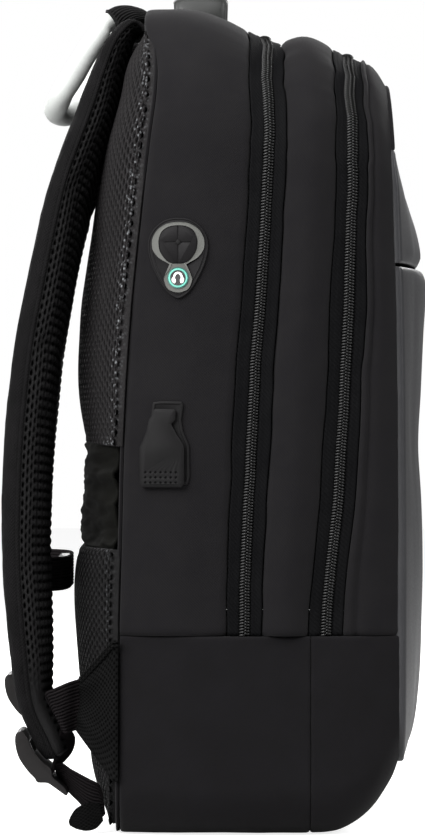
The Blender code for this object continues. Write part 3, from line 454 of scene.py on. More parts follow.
# 600 denier polyester in a plain weave, matte: a soft even black with a faint grain. Its threads
# are 0.4 mm apart, drawn at 0.8 mm so that they show.
BODY_CLOTH = Cloth(
    "body_polyester",
    "matte_cloth",
    "0d0c0e",
    "121112",
    Weave.PLAIN,
    0.8 * MM,
    0.05 * MM,
    specular=0.064,
    sheen=0.03,
    gap_shade=0.18,
)
# The same polyester in a tighter twill below the hem: a shade darker, with fine slanting lines.
BASE_CLOTH = Cloth(
    "base_polyester",
    "base_cloth",
    "0b0a0b",
    "0f0e10",
    Weave.TWILL,
    0.8 * MM,
    0.05 * MM,
    specular=0.060,
    sheen=0.03,
    gap_shade=0.18,
)
# Nylon with a polyurethane coat: smooth and satin, so folds catch long soft lights.
SATIN_CLOTH = Cloth(
    "satin_nylon",
    "satin_cloth",
    "1f1f21",
    "262628",
    Weave.PLAIN,
    1.0 * MM,
    0.03 * MM,
    roughness=0.42,
    specular=0.303,
    gap_shade=0.10,
)
# Brushed polyester on the straps' outer face: dull, with almost no gloss.
STRAP_CLOTH = Cloth(
    "strap_polyester", "matte_cloth", "030303", "0f0e0f", Weave.PLAIN, 1.0 * MM, 0.32 * MM, specular=0.065
)
# A dense small-figured polyester on the two wings at the straps' feet: nearly black, with light dots.
WING_CLOTH = Cloth(
    "wing_polyester", "base_cloth", "010101", "0b0b0b", Weave.PLAIN, 1.5 * MM, 0.22 * MM, specular=0.050, gap_shade=0.85
)
# The soft band between the pads: dull, faintly olive, so that only its wrinkles show.
BAND_CLOTH = Cloth("band_polyester", "matte_cloth", "070706", "0d0d0b", Weave.PLAIN, 0.9 * MM, 0.10 * MM, specular=0.050)
# Polyester webbing: thick ribs along it with a dry surface and slanting threads in the grooves.
WEBBING = Cloth(
    "polyester_webbing",
    "webbing",
    "080708",
    "161314",
    Weave.RIB,
    1.8 * MM,
    0.35 * MM,
    roughness=0.75,
    specular=0.032,
    gap_shade=0.92,
)
# Zip tape: a fine woven twill, a little shinier than the body.
ZIP_TAPE = Cloth(
    "zip_tape_twill", "webbing", "040405", "0b0b0c", Weave.TWILL, 1.3 * MM, 0.14 * MM, roughness=0.7, specular=0.036
)
# Spacer mesh: two knitted faces with open cells between them; the near black in the cells is painted shade, and the
# third colour is a painted highlight.
AIR_MESH = Mesh3D("spacer_mesh", "air_mesh", "010101", "201e1f", "6a6c6e", 0.9 * MM, 0.12 * MM)
# The same mesh on the straps, finer and a shade darker; its third colour is a painted highlight.
STRAP_MESH = Mesh3D("strap_spacer_mesh", "air_mesh", "010101", "131213", "37383a", 0.8 * MM, 0.20 * MM)
# Coated fabric over a soft tube: silver white, smooth, with a satin shine.
WHITE_SATIN = Cloth(
    "white_coated_cloth",
    "white_satin",
    "a0a2a0",
    "acaeac",
    Weave.PLAIN,
    0.9 * MM,
    0.01 * MM,
    roughness=0.55,
    specular=0.12,
    gap_shade=0.02,
)
# Nylon coil, drawn monofilament: round, dark and glossy enough to sparkle on each turn.
COIL = Moulded("nylon_coil", "zip_coil", "020202", "050505", 0.24, 0.4 * MM, 0.008 * MM, specular=0.24)
# Acetal, injection moulded with a fine spark texture: dark warm grey, satin.
ACETAL = Moulded("moulded_acetal", "buckle_plastic", "0d0c0c", "171515", 0.36, 0.35 * MM, 0.015 * MM, specular=0.20)
# Moulded rubber, matte: dark grey with a soft powdery look.
PORT_RUBBER = Moulded("moulded_rubber", "port_rubber", "0d0d0d", "121112", 0.55, 0.45 * MM, 0.02 * MM, specular=0.08)
# The same rubber as the patch under the ring, tinted to match the cloth round it.
PATCH_RUBBER = Moulded("patch_rubber", "port_rubber", "0e0d0e", "131213", 0.6, 0.45 * MM, 0.02 * MM, specular=0.086)
# The same rubber in a lighter grey.
RING_RUBBER = Moulded("grey_rubber", "ring_rubber", "41413e", "4c4d4a", 0.6, 0.45 * MM, 0.02 * MM, specular=0.26)
# Printed enamel ink on rubber, teal, with a smooth low gloss.
TEAL_INK = Moulded("teal_ink", "badge_teal", "4c9486", "59a494", 0.4, 0.3 * MM, 0.005 * MM)
# A deep green disc under the teal ring, which shows round it as a thin line of painted shadow.
TEAL_RING_SHADOW = Moulded("teal_ring_painted_shadow", "badge_teal", "0e3e38", "134d45", 0.4, 0.3 * MM, 0.005 * MM)
# Printed enamel ink on rubber, white.
WHITE_INK = Moulded("white_ink", "badge_teal", "cdd1cf", "e3e5e3", 0.45, 0.3 * MM, 0.005 * MM)
# Printed enamel ink on rubber, black.
BLACK_INK = Moulded("black_ink", "badge_teal", "0d0e0e", "161717", 0.4, 0.3 * MM, 0.005 * MM)
# Thermoplastic rubber over webbing: smooth, with one broad highlight.
GRIP_RUBBER = Moulded("grip_rubber", "handle_rubber", "161716", "1e1f1e", 0.45, 0.5 * MM, 0.01 * MM, specular=0.25)
# Zinc casting with a gunmetal plate: dark metal with small bright edges.
GUNMETAL = Moulded("gunmetal_plate", "slider_metal", "4a4a4d", "5a5a5e", 0.32, 0.4 * MM, 0.006 * MM, metallic=1.0)


# ---------------------------------------------------------------- making and dressing pieces


def select_only(piece: Object) -> None:
    """Make a piece the only selected one, and the active one."""
    for other in bpy.context.selected_objects:
        other.select_set(False)
    piece.select_set(True)
    bpy.context.view_layer.objects.active = piece


def apply_modifiers(piece: Object) -> None:
    """Apply every modifier of a piece."""
    select_only(piece)
    for modifier in list(piece.modifiers):
        bpy.ops.object.modifier_apply(modifier=modifier.name)


def add_piece(name: str, mesh: bpy.types.Mesh) -> Object:
    """Put a mesh in the scene, smooth shaded."""
    made = bpy.data.objects.new(name, mesh)
    bpy.context.scene.collection.objects.link(made)
    mesh.polygons.foreach_set("use_smooth", [True] * len(mesh.polygons))
    mesh.update()
    return made


def grid_piece(
    name: str,
    points: Array,
    uv: Array,
    wrap: bool = False,
    closed: bool = False,
    middle: Sequence[float] | None = None,
    attributes: dict[str, Array] | None = None,
) -> Object:
    """A surface through a grid of points.

    Args:
        name: the piece's name.
        points: rows and columns of points.
        uv: the cloth map at each, in metres, with one column more where the columns wrap.
        wrap: whether the last column is followed by the first.
        closed: whether the end rings are filled, or the rim of an open grid.
        middle: a point that the faces turn away from, or None for their own middle.
        attributes: numbers at each point, by name.

    Returns:
        The piece.
    """
    rows, columns = points.shape[:2]
    index = np.arange(rows * columns).reshape(rows, columns)
    right = np.roll(index, -1, axis=1) if wrap else index[:, 1:]
    left = index if wrap else index[:, :-1]
    quads = np.stack([left[:-1], right[:-1], right[1:], left[1:]], axis=-1).reshape(-1, 4)
    maps = np.stack([uv[:-1, :-1], uv[:-1, 1:], uv[1:, 1:], uv[1:, :-1]], axis=2).reshape(-1, 4, 2)
    flat = points.reshape(-1, 3)
    origin = flat.mean(axis=0) if middle is None else np.asarray(middle, float)
    a, b, c, d = (flat[quads[:, k]] for k in range(4))
    out = np.cross(c - a, d - b)
    if (out * ((a + b + c + d) / 4 - origin)).sum() < 0.0:
        quads, maps = quads[:, ::-1], maps[:, ::-1]
    faces = quads.tolist()
    corner_maps = [maps.reshape(-1, 2)]
    extra = []
    if closed:
        flat_uv = uv[:, :columns].reshape(-1, 2)
        if wrap:
            loops = [index[0], index[-1]]
        else:
            loops = [np.concatenate([index[0, :-1], index[:-1, -1], index[-1, :0:-1], index[:0:-1, 0]])]
        used = {(f[i], f[(i + 1) % 4]) for f in faces for i in range(4)}
        for loop in loops:
            centre = len(flat) + len(extra)
            extra.append(flat[loop].mean(axis=0))
            ahead = (int(loop[0]), int(loop[1])) in used
            for i in range(len(loop)):
                p, q = int(loop[i]), int(loop[(i + 1) % len(loop)])
                p, q = (q, p) if ahead else (p, q)
                faces.append([p, q, centre])
                corner_maps.append(np.stack([flat_uv[p], flat_uv[q], flat_uv[loop].mean(axis=0)]))
    mesh = bpy.data.meshes.new(name)
    mesh.from_pydata(flat.tolist() + [e.tolist() for e in extra], [], faces)
    layer = mesh.uv_layers.new(name=CLOTH_UV)
    layer.data.foreach_set("uv", np.concatenate(corner_maps).astype(np.float32).ravel())
    for key, values in (attributes or {}).items():
        full = np.concatenate([np.asarray(values, float).ravel(), np.zeros(len(extra))])
        mesh.attributes.new(key, "FLOAT", "POINT").data.foreach_set("value", full.astype(np.float32))
    return add_piece(name, mesh)


def map_of(points: Array, wrap: bool = False) -> Array:
    """A cloth map for a grid: metres along its middle row and down its middle column."""
    rows, columns = points.shape[:2]
    across = points[rows // 2]
    if wrap:
        across = np.concatenate([across, across[:1]])
    u, v = lengths(across), lengths(points[:, columns // 2])
    return np.stack(np.meshgrid(u, v), axis=-1)


def thicken(piece: Object, thickness: float) -> None:
    """Give an open sheet its thickness, inwards."""
    wall = piece.modifiers.new("Thickness", "SOLIDIFY")
    wall.thickness = thickness
    wall.offset = -1.0
    apply_modifiers(piece)


def dress(piece: Object, finish: Any, nodes: Sequence[str] = ()) -> Object:
    """Give a piece its finish, its body and the CAD nodes that it stands for."""
    piece.data.materials.clear()
    piece.data.materials.append(finish.material())
    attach(piece, ROOT)
    if nodes:
        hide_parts(*nodes)
    faces = len(piece.data.polygons)
    LOG.info("%s: %d faces, %s", piece.name, faces, finish.name)
    return piece


def tube_rings(path: Array, radius: float, sides: int, hint: Sequence[float] = (1.0, 0.0, 0.0)) -> Array:
    """Rings of a round tube along a path."""
    along = unit(np.gradient(path, axis=0))
    across = np.asarray(hint, float) - along * (along @ np.asarray(hint, float))[:, None]
    across = unit(across)
    other = np.cross(along, across)
    angle = np.arange(sides) / sides * 2 * PI
    return (
        path[:, None]
        + across[:, None] * (radius * np.cos(angle))[None, :, None]
        + other[:, None] * (radius * np.sin(angle))[None, :, None]
    )


def tube_piece(name: str, path: Array, radius: float, sides: int = 8, hint: Sequence[float] = (1.0, 0.0, 0.0)) -> Object:
    """A closed round tube along a path."""
    rings = tube_rings(path, radius, sides, hint)
    return grid_piece(name, rings, map_of(rings, wrap=True), wrap=True, closed=True)


def copies(name: str, source: bpy.types.Mesh, places: Array) -> Object:
    """One mesh with a copy of a small shape at each of many places.

    Args:
        name: the piece's name.
        source: the small shape's mesh.
        places: a 4 x 4 matrix for each copy.

    Returns:
        The piece.
    """
    count = len(source.vertices)
    corners = np.array([v.co for v in source.vertices], float)
    corners = np.concatenate([corners, np.ones((count, 1))], axis=1)
    placed = np.einsum("nij,vj->nvi", places, corners)[..., :3].reshape(-1, 3)
    faces = []
    shapes = [list(p.vertices) for p in source.polygons]
    for k in range(len(places)):
        faces += [[i + k * count for i in shape] for shape in shapes]
    mesh = bpy.data.meshes.new(name)
    mesh.from_pydata(placed.tolist(), [], faces)
    layer = mesh.uv_layers.new(name=CLOTH_UV)
    loops = np.zeros(len(mesh.loops), int)
    mesh.loops.foreach_get("vertex_index", loops)
    flat = np.tile(corners[:, :2], (len(places), 1))[loops]
    layer.data.foreach_set("uv", flat.astype(np.float32).ravel())
    return add_piece(name, mesh)


def frames_along(path: Array, outwards: Array, step: float, start: float = 0.0) -> Array:
    """Matrices at even steps along a path: X along it, Z outwards.

    Args:
        path: the points.
        outwards: the direction that faces out at each point.
        step: the distance between two matrices, in metres.
        start: how far from the path's start the first one is.

    Returns:
        One 4 x 4 matrix for each step.
    """
    along = lengths(path)
    at = np.arange(start, along[-1], step)
    place = np.stack([np.interp(at, along, path[:, i]) for i in range(3)], axis=1)
    out = np.stack([np.interp(at, along, outwards[:, i]) for i in range(3)], axis=1)
    ahead = np.stack([np.interp(at + 0.0005, along, path[:, i]) for i in range(3)], axis=1)
    back = np.stack([np.interp(at - 0.0005, along, path[:, i]) for i in range(3)], axis=1)
    x = unit(ahead - back)
    z = unit(out - x * (x * out).sum(axis=1, keepdims=True))
    y = np.cross(z, x)
    made = np.zeros((len(at), 4, 4))
    made[:, :3, 0], made[:, :3, 1], made[:, :3, 2], made[:, :3, 3] = x, y, z, place
    made[:, 3, 3] = 1.0
    return made


# ---------------------------------------------------------------- the bag's form


@dataclass
class BodyForm:
    """Where the bag's seams run: their depth by height, and the arch that each makes."""

    gap: float = 0.3 * MM
    hem: float = 0.1150
    crown: float = 0.0010
    taper: float = 0.0040
    base_corner: float = 0.0280
    ear: float = 0.0060
    cloth: float = 2.0 * MM
    panel: float = 3.0 * MM
    heights: tuple[float, ...] = (0.0, 0.115, 0.170, 0.240, 0.300, 0.360, 0.400, 0.430, 0.460, 0.490)
    seams: dict[str, tuple[float, ...]] = field(
        default_factory=lambda: {
            "back": (0.0535, 0.0533, 0.0519, 0.0500, 0.0462, 0.0402, 0.0356, 0.0320, 0.0322, 0.0372),
            "rear_in": (-0.0080, -0.0083, -0.0083, -0.0125, -0.0163, -0.0208, -0.0213, -0.0213, -0.0212, -0.0212),
            "rear_out": (-0.0275, -0.0280, -0.0300, -0.0335, -0.0382, -0.0415, -0.0425, -0.0420, -0.0408, -0.0400),
            "front_in": (-0.0560, -0.0548, -0.0590, -0.0645, -0.0675, -0.0705, -0.0708, -0.0710, -0.0710, -0.0710),
            "front_out": (-0.0740, -0.0745, -0.0790, -0.0850, -0.0875, -0.0887, -0.0887, -0.0875, -0.0865, -0.0865),
            "face": (-0.1075, -0.1078, -0.1078, -0.1073, -0.1063, -0.1045, -0.1032, -0.1020, -0.1010, -0.1010),
        }
    )
    arches: dict[str, tuple[float, float, float]] = field(
        default_factory=lambda: {
            "back": (0.1480, 0.4810, 0.0740),
            "rear_in": (0.1530, 0.4680, 0.0760),
            "rear_out": (0.1530, 0.4605, 0.0760),
            "front_in": (0.1515, 0.4572, 0.0740),
            "front_out": (0.1490, 0.4500, 0.0720),
            "face": (0.1400, 0.4360, 0.0640),
        }
    )

    def seam(self, name: str, z: Any) -> Array:
        """Y of a seam at a height."""
        return through(self.heights, self.seams[name], z)

    def course(self, side: int = 110, corner: int = 64, top: int = 40) -> tuple[Array, Array]:
        """Places round an arch, from the near hem over the top to the far hem: sign and place."""
        half = np.concatenate(
            [
                np.linspace(0.0, 1.0, side, endpoint=False),
                np.linspace(1.0, 2.0, corner, endpoint=False),
                np.linspace(2.0, 3.0, top + 1),
            ]
        )
        sign = np.concatenate([-np.ones(len(half)), np.ones(len(half) - 1)])
        return sign, np.concatenate([half, half[-2::-1]])

    def wall(
        self, first: str, last: str, bulge: float, t: Array, course: tuple[Array, Array], lift: float = 0.0
    ) -> tuple[Array, Array]:
        """Points and outward directions on the wall between two seams.

        Args:
            first: the seam where t is 0.
            last: the seam where t is 1.
            bulge: how far the wall stands out in its middle.
            t: places across the wall.
            course: places along it.
            lift: how much further out each point is.

        Returns:
            The points and the directions, each as rows along the wall and columns across it.
        """
        sign, place = (x[:, None] for x in course)
        t = np.atleast_1d(t)[None, :]
        half_width, top, corner = (
            mix(a, b, t) for a, b in zip(self.arches[first], self.arches[last])
        )
        shoulder, flat = top - corner, half_width - corner
        angle = np.clip(place - 1.0, 0.0, 1.0) * PI / 2
        x = flat * (1.0 - np.clip(place - 2.0, 0.0, 1.0)) + corner * np.cos(angle)
        z = self.hem + (shoulder - self.hem) * np.clip(place, 0.0, 1.0) + corner * np.sin(angle)
        z = z + np.where(place > 2.0, self.crown * (1.0 - (x / flat) ** 2), 0.0)
        x = x - self.taper * np.maximum(0.0, (z - self.hem) / (top - self.hem)) ** 2
        out_x, out_z = sign * np.cos(angle) + 0.0 * t, np.sin(angle) + 0.0 * t
        y_first = self.seam(first, z) - self.gap / 2 + self.wander(first, sign, place)
        y_last = self.seam(last, z) + self.gap / 2 + self.wander(last, sign, place)
        y = mix(y_first, y_last, t)
        if first == "back":
            y = y + self.ear * np.exp(-(((z - 0.4700) / 0.0150) ** 2)) * (1.0 - t) ** 6
        out = bulge * np.sin(PI * t) + lift
        points = np.stack([sign * x + out_x * out, y, z + out_z * out], axis=-1)
        outwards = np.stack([out_x, 0.0 * out_x, out_z], axis=-1)
        return points, outwards

    def wander(self, name: str, sign: Array, place: Array) -> Array:
        """How far a seam strays from its line, as sewn seams do."""
        ripple = WANDER[name]
        along = sign * (place + 1.0)
        free = smooth_step(0.0, 0.12, place)
        broad = ripple.at(along * 7.0, 0.0 * along) * 0.9 * MM
        return free * (broad + ripple.at(along * 21.0, 5.0 + 0.0 * along) * 0.35 * MM)

    def side_reach(self, y: Any, z: Any) -> Array:
        """How far out the rear gusset's side is at a place on it."""
        first, last = self.seam("back", z), self.seam("rear_in", z)
        t = np.clip((first - y) / (first - last), 0.0, 1.0)
        half_width = mix(self.arches["back"][0], self.arches["rear_in"][0], t)
        top = mix(self.arches["back"][1], self.arches["rear_in"][1], t)
        half_width = half_width - self.taper * np.maximum(0.0, (z - self.hem) / (top - self.hem)) ** 2
        return half_width + 0.0050 * np.sin(PI * t)

    def half_width(self, seam: str, lowest: float, z: Any) -> Array:
        """Half of the width inside a seam's arch at a height, with round lower corners."""
        half, top, corner = self.arches[seam]
        z = np.asarray(z, float)
        wide = half - self.taper * np.maximum(0.0, (z - self.hem) / (top - self.hem)) ** 2
        rise = np.clip(z - (top - corner), 0.0, corner)
        wide = wide - (corner - np.sqrt(corner**2 - rise**2))
        drop = np.clip(lowest + self.base_corner - z, 0.0, self.base_corner)
        return wide - (self.base_corner - np.sqrt(self.base_corner**2 - drop**2))

    def back_face(self, z: Any) -> Array:
        """Y of the back panel's outer face."""
        return self.seam("back", z) + self.gap + self.cloth


# The seams beside the zips stray a little; the outermost two lie on other panels and don't.
WANDER = {name: Ripple(100 + k) for k, name in enumerate(("rear_in", "rear_out", "front_in", "front_out"))}
for name in ("back", "face"):
    WANDER[name] = Ripple(99)
    WANDER[name].heights *= 0.0
FORM = BodyForm()


def edge_steps(width: float, middle: float = 3.0 * MM) -> Array:
    """Places across a panel, close together at its two edges, from 0 to 1."""
    near = np.array([0.0, 0.35, 0.7, 1.1, 1.5, 2.0, 2.6, 3.2, 4.0, 5.0, 6.5]) * MM
    near = near[near < width * 0.45]
    count = max(2, int((width - 2 * near[-1]) / middle))
    inner = np.linspace(near[-1], width - near[-1], count + 1)[1:-1]
    return np.concatenate([near, inner, width - near[::-1]]) / width


def rolled(distance: Array, radius: float, depth: float) -> Array:
    """How far a sewn edge rolls in, at a distance from its seam."""
    t = 1.0 - np.clip(distance / radius, 0.0, 1.0)
    return -depth * (1.0 - np.sqrt(np.maximum(0.0, 1.0 - t**2)))


ALLOWANCE = 5.0 * MM


def tuck(points: Array, uv: Array, outwards: Array) -> tuple[Array, Array]:
    """Fold a panel's edges into its seams, as its sewing allowance is.

    Args:
        points: the panel's grid.
        uv: its cloth map.
        outwards: the outward direction at each point.

    Returns:
        The grid and the map with a folded row or column more at each edge.
    """
    for axis in (1, 0):
        grids = []
        for grid, drop in ((points, outwards * ALLOWANCE), (uv, None), (outwards, None)):
            first, last = np.take(grid, [0], axis), np.take(grid, [-1], axis)
            if drop is not None:
                first, last = first - np.take(drop, [0], axis), last - np.take(drop, [-1], axis)
            grids.append(np.concatenate([first, grid, last], axis=axis))
        points, uv, outwards = grids
    return points, uv


@dataclass
class Gusset:
    """A side and top wall between two seams, with rolled edges and soft waves."""

    node: str
    first: str
    last: str
    bulge: float
    seed: int
    welt: float = 0.0
    roll: float = 2.2 * MM
    wave: float = 0.5 * MM

    def build(self) -> Object:
        """The wall as a sheet round the whole arch."""
        course = FORM.course()
        width = abs(float(FORM.seam(self.first, 0.3) - FORM.seam(self.last, 0.3)))
        t = edge_steps(width, 2.5 * MM)
        points, outwards = FORM.wall(self.first, self.last, self.bulge, t, course)
        uv = map_of(points)
        along, across = uv[..., 1], uv[..., 0]
        d_first, d_last = across, across[:, -1:] - across
        z = points[..., 2]
        front_roll = self.roll
        if self.last == "face":
            front_roll = self.roll * (1.0 - smooth_step(0.388, 0.400, z))
        lift = rolled(d_first - self.welt, 4.5 * MM, self.roll) + rolled(d_last, 4.5 * MM, 1.0) * front_roll
        if self.welt > 0.0:
            inside = np.clip(1.0 - ((d_first - self.welt / 2) / (self.welt / 2)) ** 2, 0.0, 1.0)
            lift = np.where(d_first < self.welt, 1.9 * MM * np.sqrt(inside) - 0.9 * MM, lift)
        ripple = Ripple(self.seed)
        broad = ripple.rough(along / 0.055, across / 0.030, 3) * self.wave
        pucker = ripple.at(along / (7.0 * MM), 0.0 * along) * 0.30 * MM
        near_seam = np.exp(-np.minimum(d_first, d_last) / (5.0 * MM))
        fade = smooth_step(0.0, 4.0 * MM, np.minimum(d_first, d_last))
        foot = rolled(z - FORM.hem, 2.5 * MM, 1.0 * MM)
        lift = lift + broad * fade * 0.8 + pucker * near_seam + foot
        points = points + outwards * lift[..., None]
        points, uv = tuck(points, uv, outwards)
        piece = grid_piece(self.node + "_panel", points, uv, middle=(0.0, 0.0, 0.22))
        thicken(piece, FORM.panel)
        dress(piece, BODY_CLOTH, [self.node])
        return piece


@dataclass
class Zip:
    """A coil zip over the arch: two woven tapes and the closed coil on their middle."""

    node: str
    first: str
    last: str
    dip: float = -0.8 * MM
    pitch: float = 1.7 * MM
    reach: float = 3.6 * MM
    slant: float = 0.22
    radius: float = 0.44 * MM
    drop: float = 1.3 * MM

    def tape(self) -> Object:
        """The woven tape, a shallow channel between the two gussets."""
        course = FORM.course()
        width = abs(float(FORM.seam(self.first, 0.3) - FORM.seam(self.last, 0.3)))
        t = edge_steps(width, 1.2 * MM)
        points, outwards = FORM.wall(self.first, self.last, self.dip, t, course)
        uv = map_of(points)
        d = np.minimum(uv[..., 0], uv[:, -1:, 0] - uv[..., 0])
        middle = np.abs(uv[..., 0] - uv[:, -1:, 0] / 2)
        lift = rolled(d, 1.5 * MM, 0.6 * MM) + 0.35 * MM * np.exp(-(((middle - 4.6 * MM) / (0.8 * MM)) ** 2))
        lift = lift + Ripple(41).rough(uv[..., 1] / 0.030, uv[..., 0] / 0.010, 2) * 0.12 * MM
        points = points + outwards * lift[..., None]
        piece = grid_piece(self.node + "_tape_cloth", points, uv, middle=(0.0, 0.0, 0.22))
        thicken(piece, 1.2 * MM)
        dress(piece, ZIP_TAPE, [self.node + "_tape"])
        return piece

    def tooth(self) -> bpy.types.Mesh:
        """One turn of the coil, modelled once: a short rounded bar with its inner end turned down."""
        found = bpy.data.meshes.get("coil_turn")
        if found:
            return found
        bpy.ops.mesh.primitive_cylinder_add(
            vertices=6, radius=self.radius, depth=self.reach - 0.5 * MM, rotation=(PI / 2, 0.0, 0.0), end_fill_type="NGON"
        )
        piece = bpy.context.object
        bpy.ops.object.transform_apply(location=True, rotation=True, scale=True)
        for face in piece.data.polygons:
            face.select = abs(face.normal.y) > 0.9
        bpy.ops.object.mode_set(mode="EDIT")
        bpy.ops.mesh.select_mode(type="FACE")
        bpy.ops.mesh.inset(thickness=self.radius * 0.45, depth=self.radius * 0.55)
        for part in (-0.2, 0.15):
            bpy.ops.mesh.select_all(action="SELECT")
            bpy.ops.mesh.bisect(plane_co=(0.0, self.reach * part, 0.0), plane_no=(0.0, 1.0, 0.0))
        bpy.ops.object.mode_set(mode="OBJECT")
        mesh = piece.data
        for corner in mesh.vertices:
            outer = max(0.0, corner.co.y / self.reach + 0.5)
            corner.co.z = corner.co.z * 1.15 - self.drop * outer**2.2
        mesh.name = "coil_turn"
        mesh.use_fake_user = True
        bpy.data.objects.remove(piece, do_unlink=True)
        return mesh

    def chain(self) -> Object:
        """The closed coil: two columns of turns that meet on the middle line."""
        course = FORM.course()
        points, outwards = FORM.wall(self.first, self.last, self.dip, np.array([0.5]), course, 1.0 * MM)
        places = []
        for side in (-1.0, 1.0):
            frames = frames_along(points[:, 0], outwards[:, 0], self.pitch, self.pitch * (0.25 if side > 0 else 0.75))
            turned = Matrix.Translation((0.0, side * self.reach / 2, 0.0)) @ Matrix.Rotation(side * self.slant, 4, "Z")
            turned = turned @ Matrix.Rotation(0.0 if side > 0.0 else PI, 4, "Z")
            places.append(frames @ np.array(turned))
        piece = copies(self.node + "_coil", self.tooth(), np.concatenate(places))
        return dress(piece, COIL, [self.node + "_chain"])

    def build(self) -> list[Object]:
        """Tape and coil."""
        return [self.tape(), self.chain()]


@dataclass
class LowerBody:
    """The two lower walls: each is both sides and the bottom in one, below the hem seam."""

    split: float = -0.0563
    front_y: tuple[float, ...] = (-0.1075, -0.1045, -0.1000, -0.0930, -0.0850, -0.0750, -0.0650, -0.0563)
    front_bottom: tuple[float, ...] = (0.0400, 0.0320, 0.0245, 0.0150, 0.0078, 0.0024, 0.0003, 0.0)
    front_half: tuple[float, ...] = (0.1400, 0.1415, 0.1440, 0.1468, 0.1490, 0.1508, 0.1518, 0.1525)

    def section(self, half_width: Array, bottom: Array, top: float) -> tuple[Array, Array, Array, Array]:
        """Sections of the base: down the near side, across the bottom and up the far side.

        Args:
            half_width: half of each section's width.
            bottom: each section's lowest height.
            top: the height of the hem seam.

        Returns:
            X, Z and the outward direction's X and Z, as rows for sections and columns along them.
        """
        half_width, bottom = half_width[:, None], bottom[:, None]
        corner = np.minimum(FORM.base_corner, (top - bottom) * 0.45)
        place = np.concatenate(
            [
                np.array([0.0, 0.006, 0.012, 0.02, 0.03, 0.045]),
                np.linspace(0.06, 1.0, 34, endpoint=False),
                np.linspace(1.0, 2.0, 18, endpoint=False),
                np.linspace(2.0, 3.0, 26),
            ]
        )[None, :]
        side = np.clip(place, 0.0, 1.0)
        angle = np.clip(place - 1.0, 0.0, 1.0) * PI / 2
        floor = np.clip(place - 2.0, 0.0, 1.0)
        x = -(half_width - corner) * (1.0 - floor) - corner * np.cos(angle)
        z = mix(top, bottom + corner, side) - corner * np.sin(angle)
        out_x, out_z = -np.cos(angle) + 0.0 * z, -np.sin(angle) + 0.0 * z

        def whole(near: Array, flip: float) -> Array:
            """The near half of each section and its far half."""
            return np.concatenate([near, flip * near[:, -2::-1]], axis=1)

        return whole(x, -1.0), whole(z, 1.0), whole(out_x, -1.0), whole(out_z, 1.0)

    def finish_wall(self, name: str, node: str, points: Array, outwards: Array, seed: int) -> Object:
        """Roll the edges of a lower wall in, wave it softly and make it a sheet."""
        uv = map_of(points)
        across, along = uv[..., 0], uv[..., 1]
        d_side = np.minimum(along, along[-1:] - along)
        d_hem = np.minimum(across, across[:, -1:] - across)
        ripple = Ripple(seed)
        broad = ripple.rough(across / 0.050, along / 0.030, 3) * 0.35 * MM
        pucker = ripple.at(across / (8.0 * MM), 0.0 * across) * 0.15 * MM * np.exp(-d_side / (6.0 * MM))
        pucker = pucker + ripple.at(along / (9.0 * MM), 9.0 + 0.0 * along) * 0.15 * MM * np.exp(-d_hem / (6.0 * MM))
        fade = smooth_step(0.0, 5.0 * MM, np.minimum(d_side, d_hem))
        lift = rolled(d_hem, 2.5 * MM, 1.1 * MM) + rolled(d_side, 2.2 * MM, 1.0 * MM) + broad * fade + pucker
        lift = np.where(outwards[..., 2] < -0.999, np.minimum(lift, 0.0), lift)
        points = points + outwards * lift[..., None]
        points[..., 2] = np.maximum(points[..., 2], 0.0)
        points, uv = tuck(points, uv, outwards)
        piece = grid_piece(name, points, uv, middle=(0.0, 0.0, 0.10))
        thicken(piece, FORM.panel)
        dress(piece, BASE_CLOTH, [node])
        return piece

    def build(self) -> list[Object]:
        """Both walls."""
        top = FORM.hem - FORM.gap
        t = edge_steps(0.110, 3.0 * MM)
        half = mix(0.1480, self.front_half[-1], np.minimum(1.0, 3.0 * t)) + 0.0025 * np.sin(PI * t)
        x, z, out_x, out_z = self.section(half, 0.0 * t, top)
        y = mix(FORM.seam("back", z) - FORM.gap, self.split + FORM.gap, t[:, None])
        rear = np.stack([x, y, z], axis=-1)
        rear_out = np.stack([out_x, 0.0 * out_x, out_z], axis=-1)
        y = mix(self.split, self.front_y[0], edge_steps(0.056, 2.4 * MM))
        bottom = through(self.front_y, self.front_bottom, y)
        half = through(self.front_y, self.front_half, y)
        x, z, out_x, out_z = self.section(half, bottom, top)
        front = np.stack([x, y[:, None] + 0.0 * x, z], axis=-1)
        front_out = np.stack([out_x, 0.0 * out_x, out_z], axis=-1)
        return [
            self.finish_wall("lower_rear_panel", "lower_rear_wall", rear, rear_out, 21),
            self.finish_wall("lower_front_panel", "lower_front_wall", front, front_out, 22),
        ]


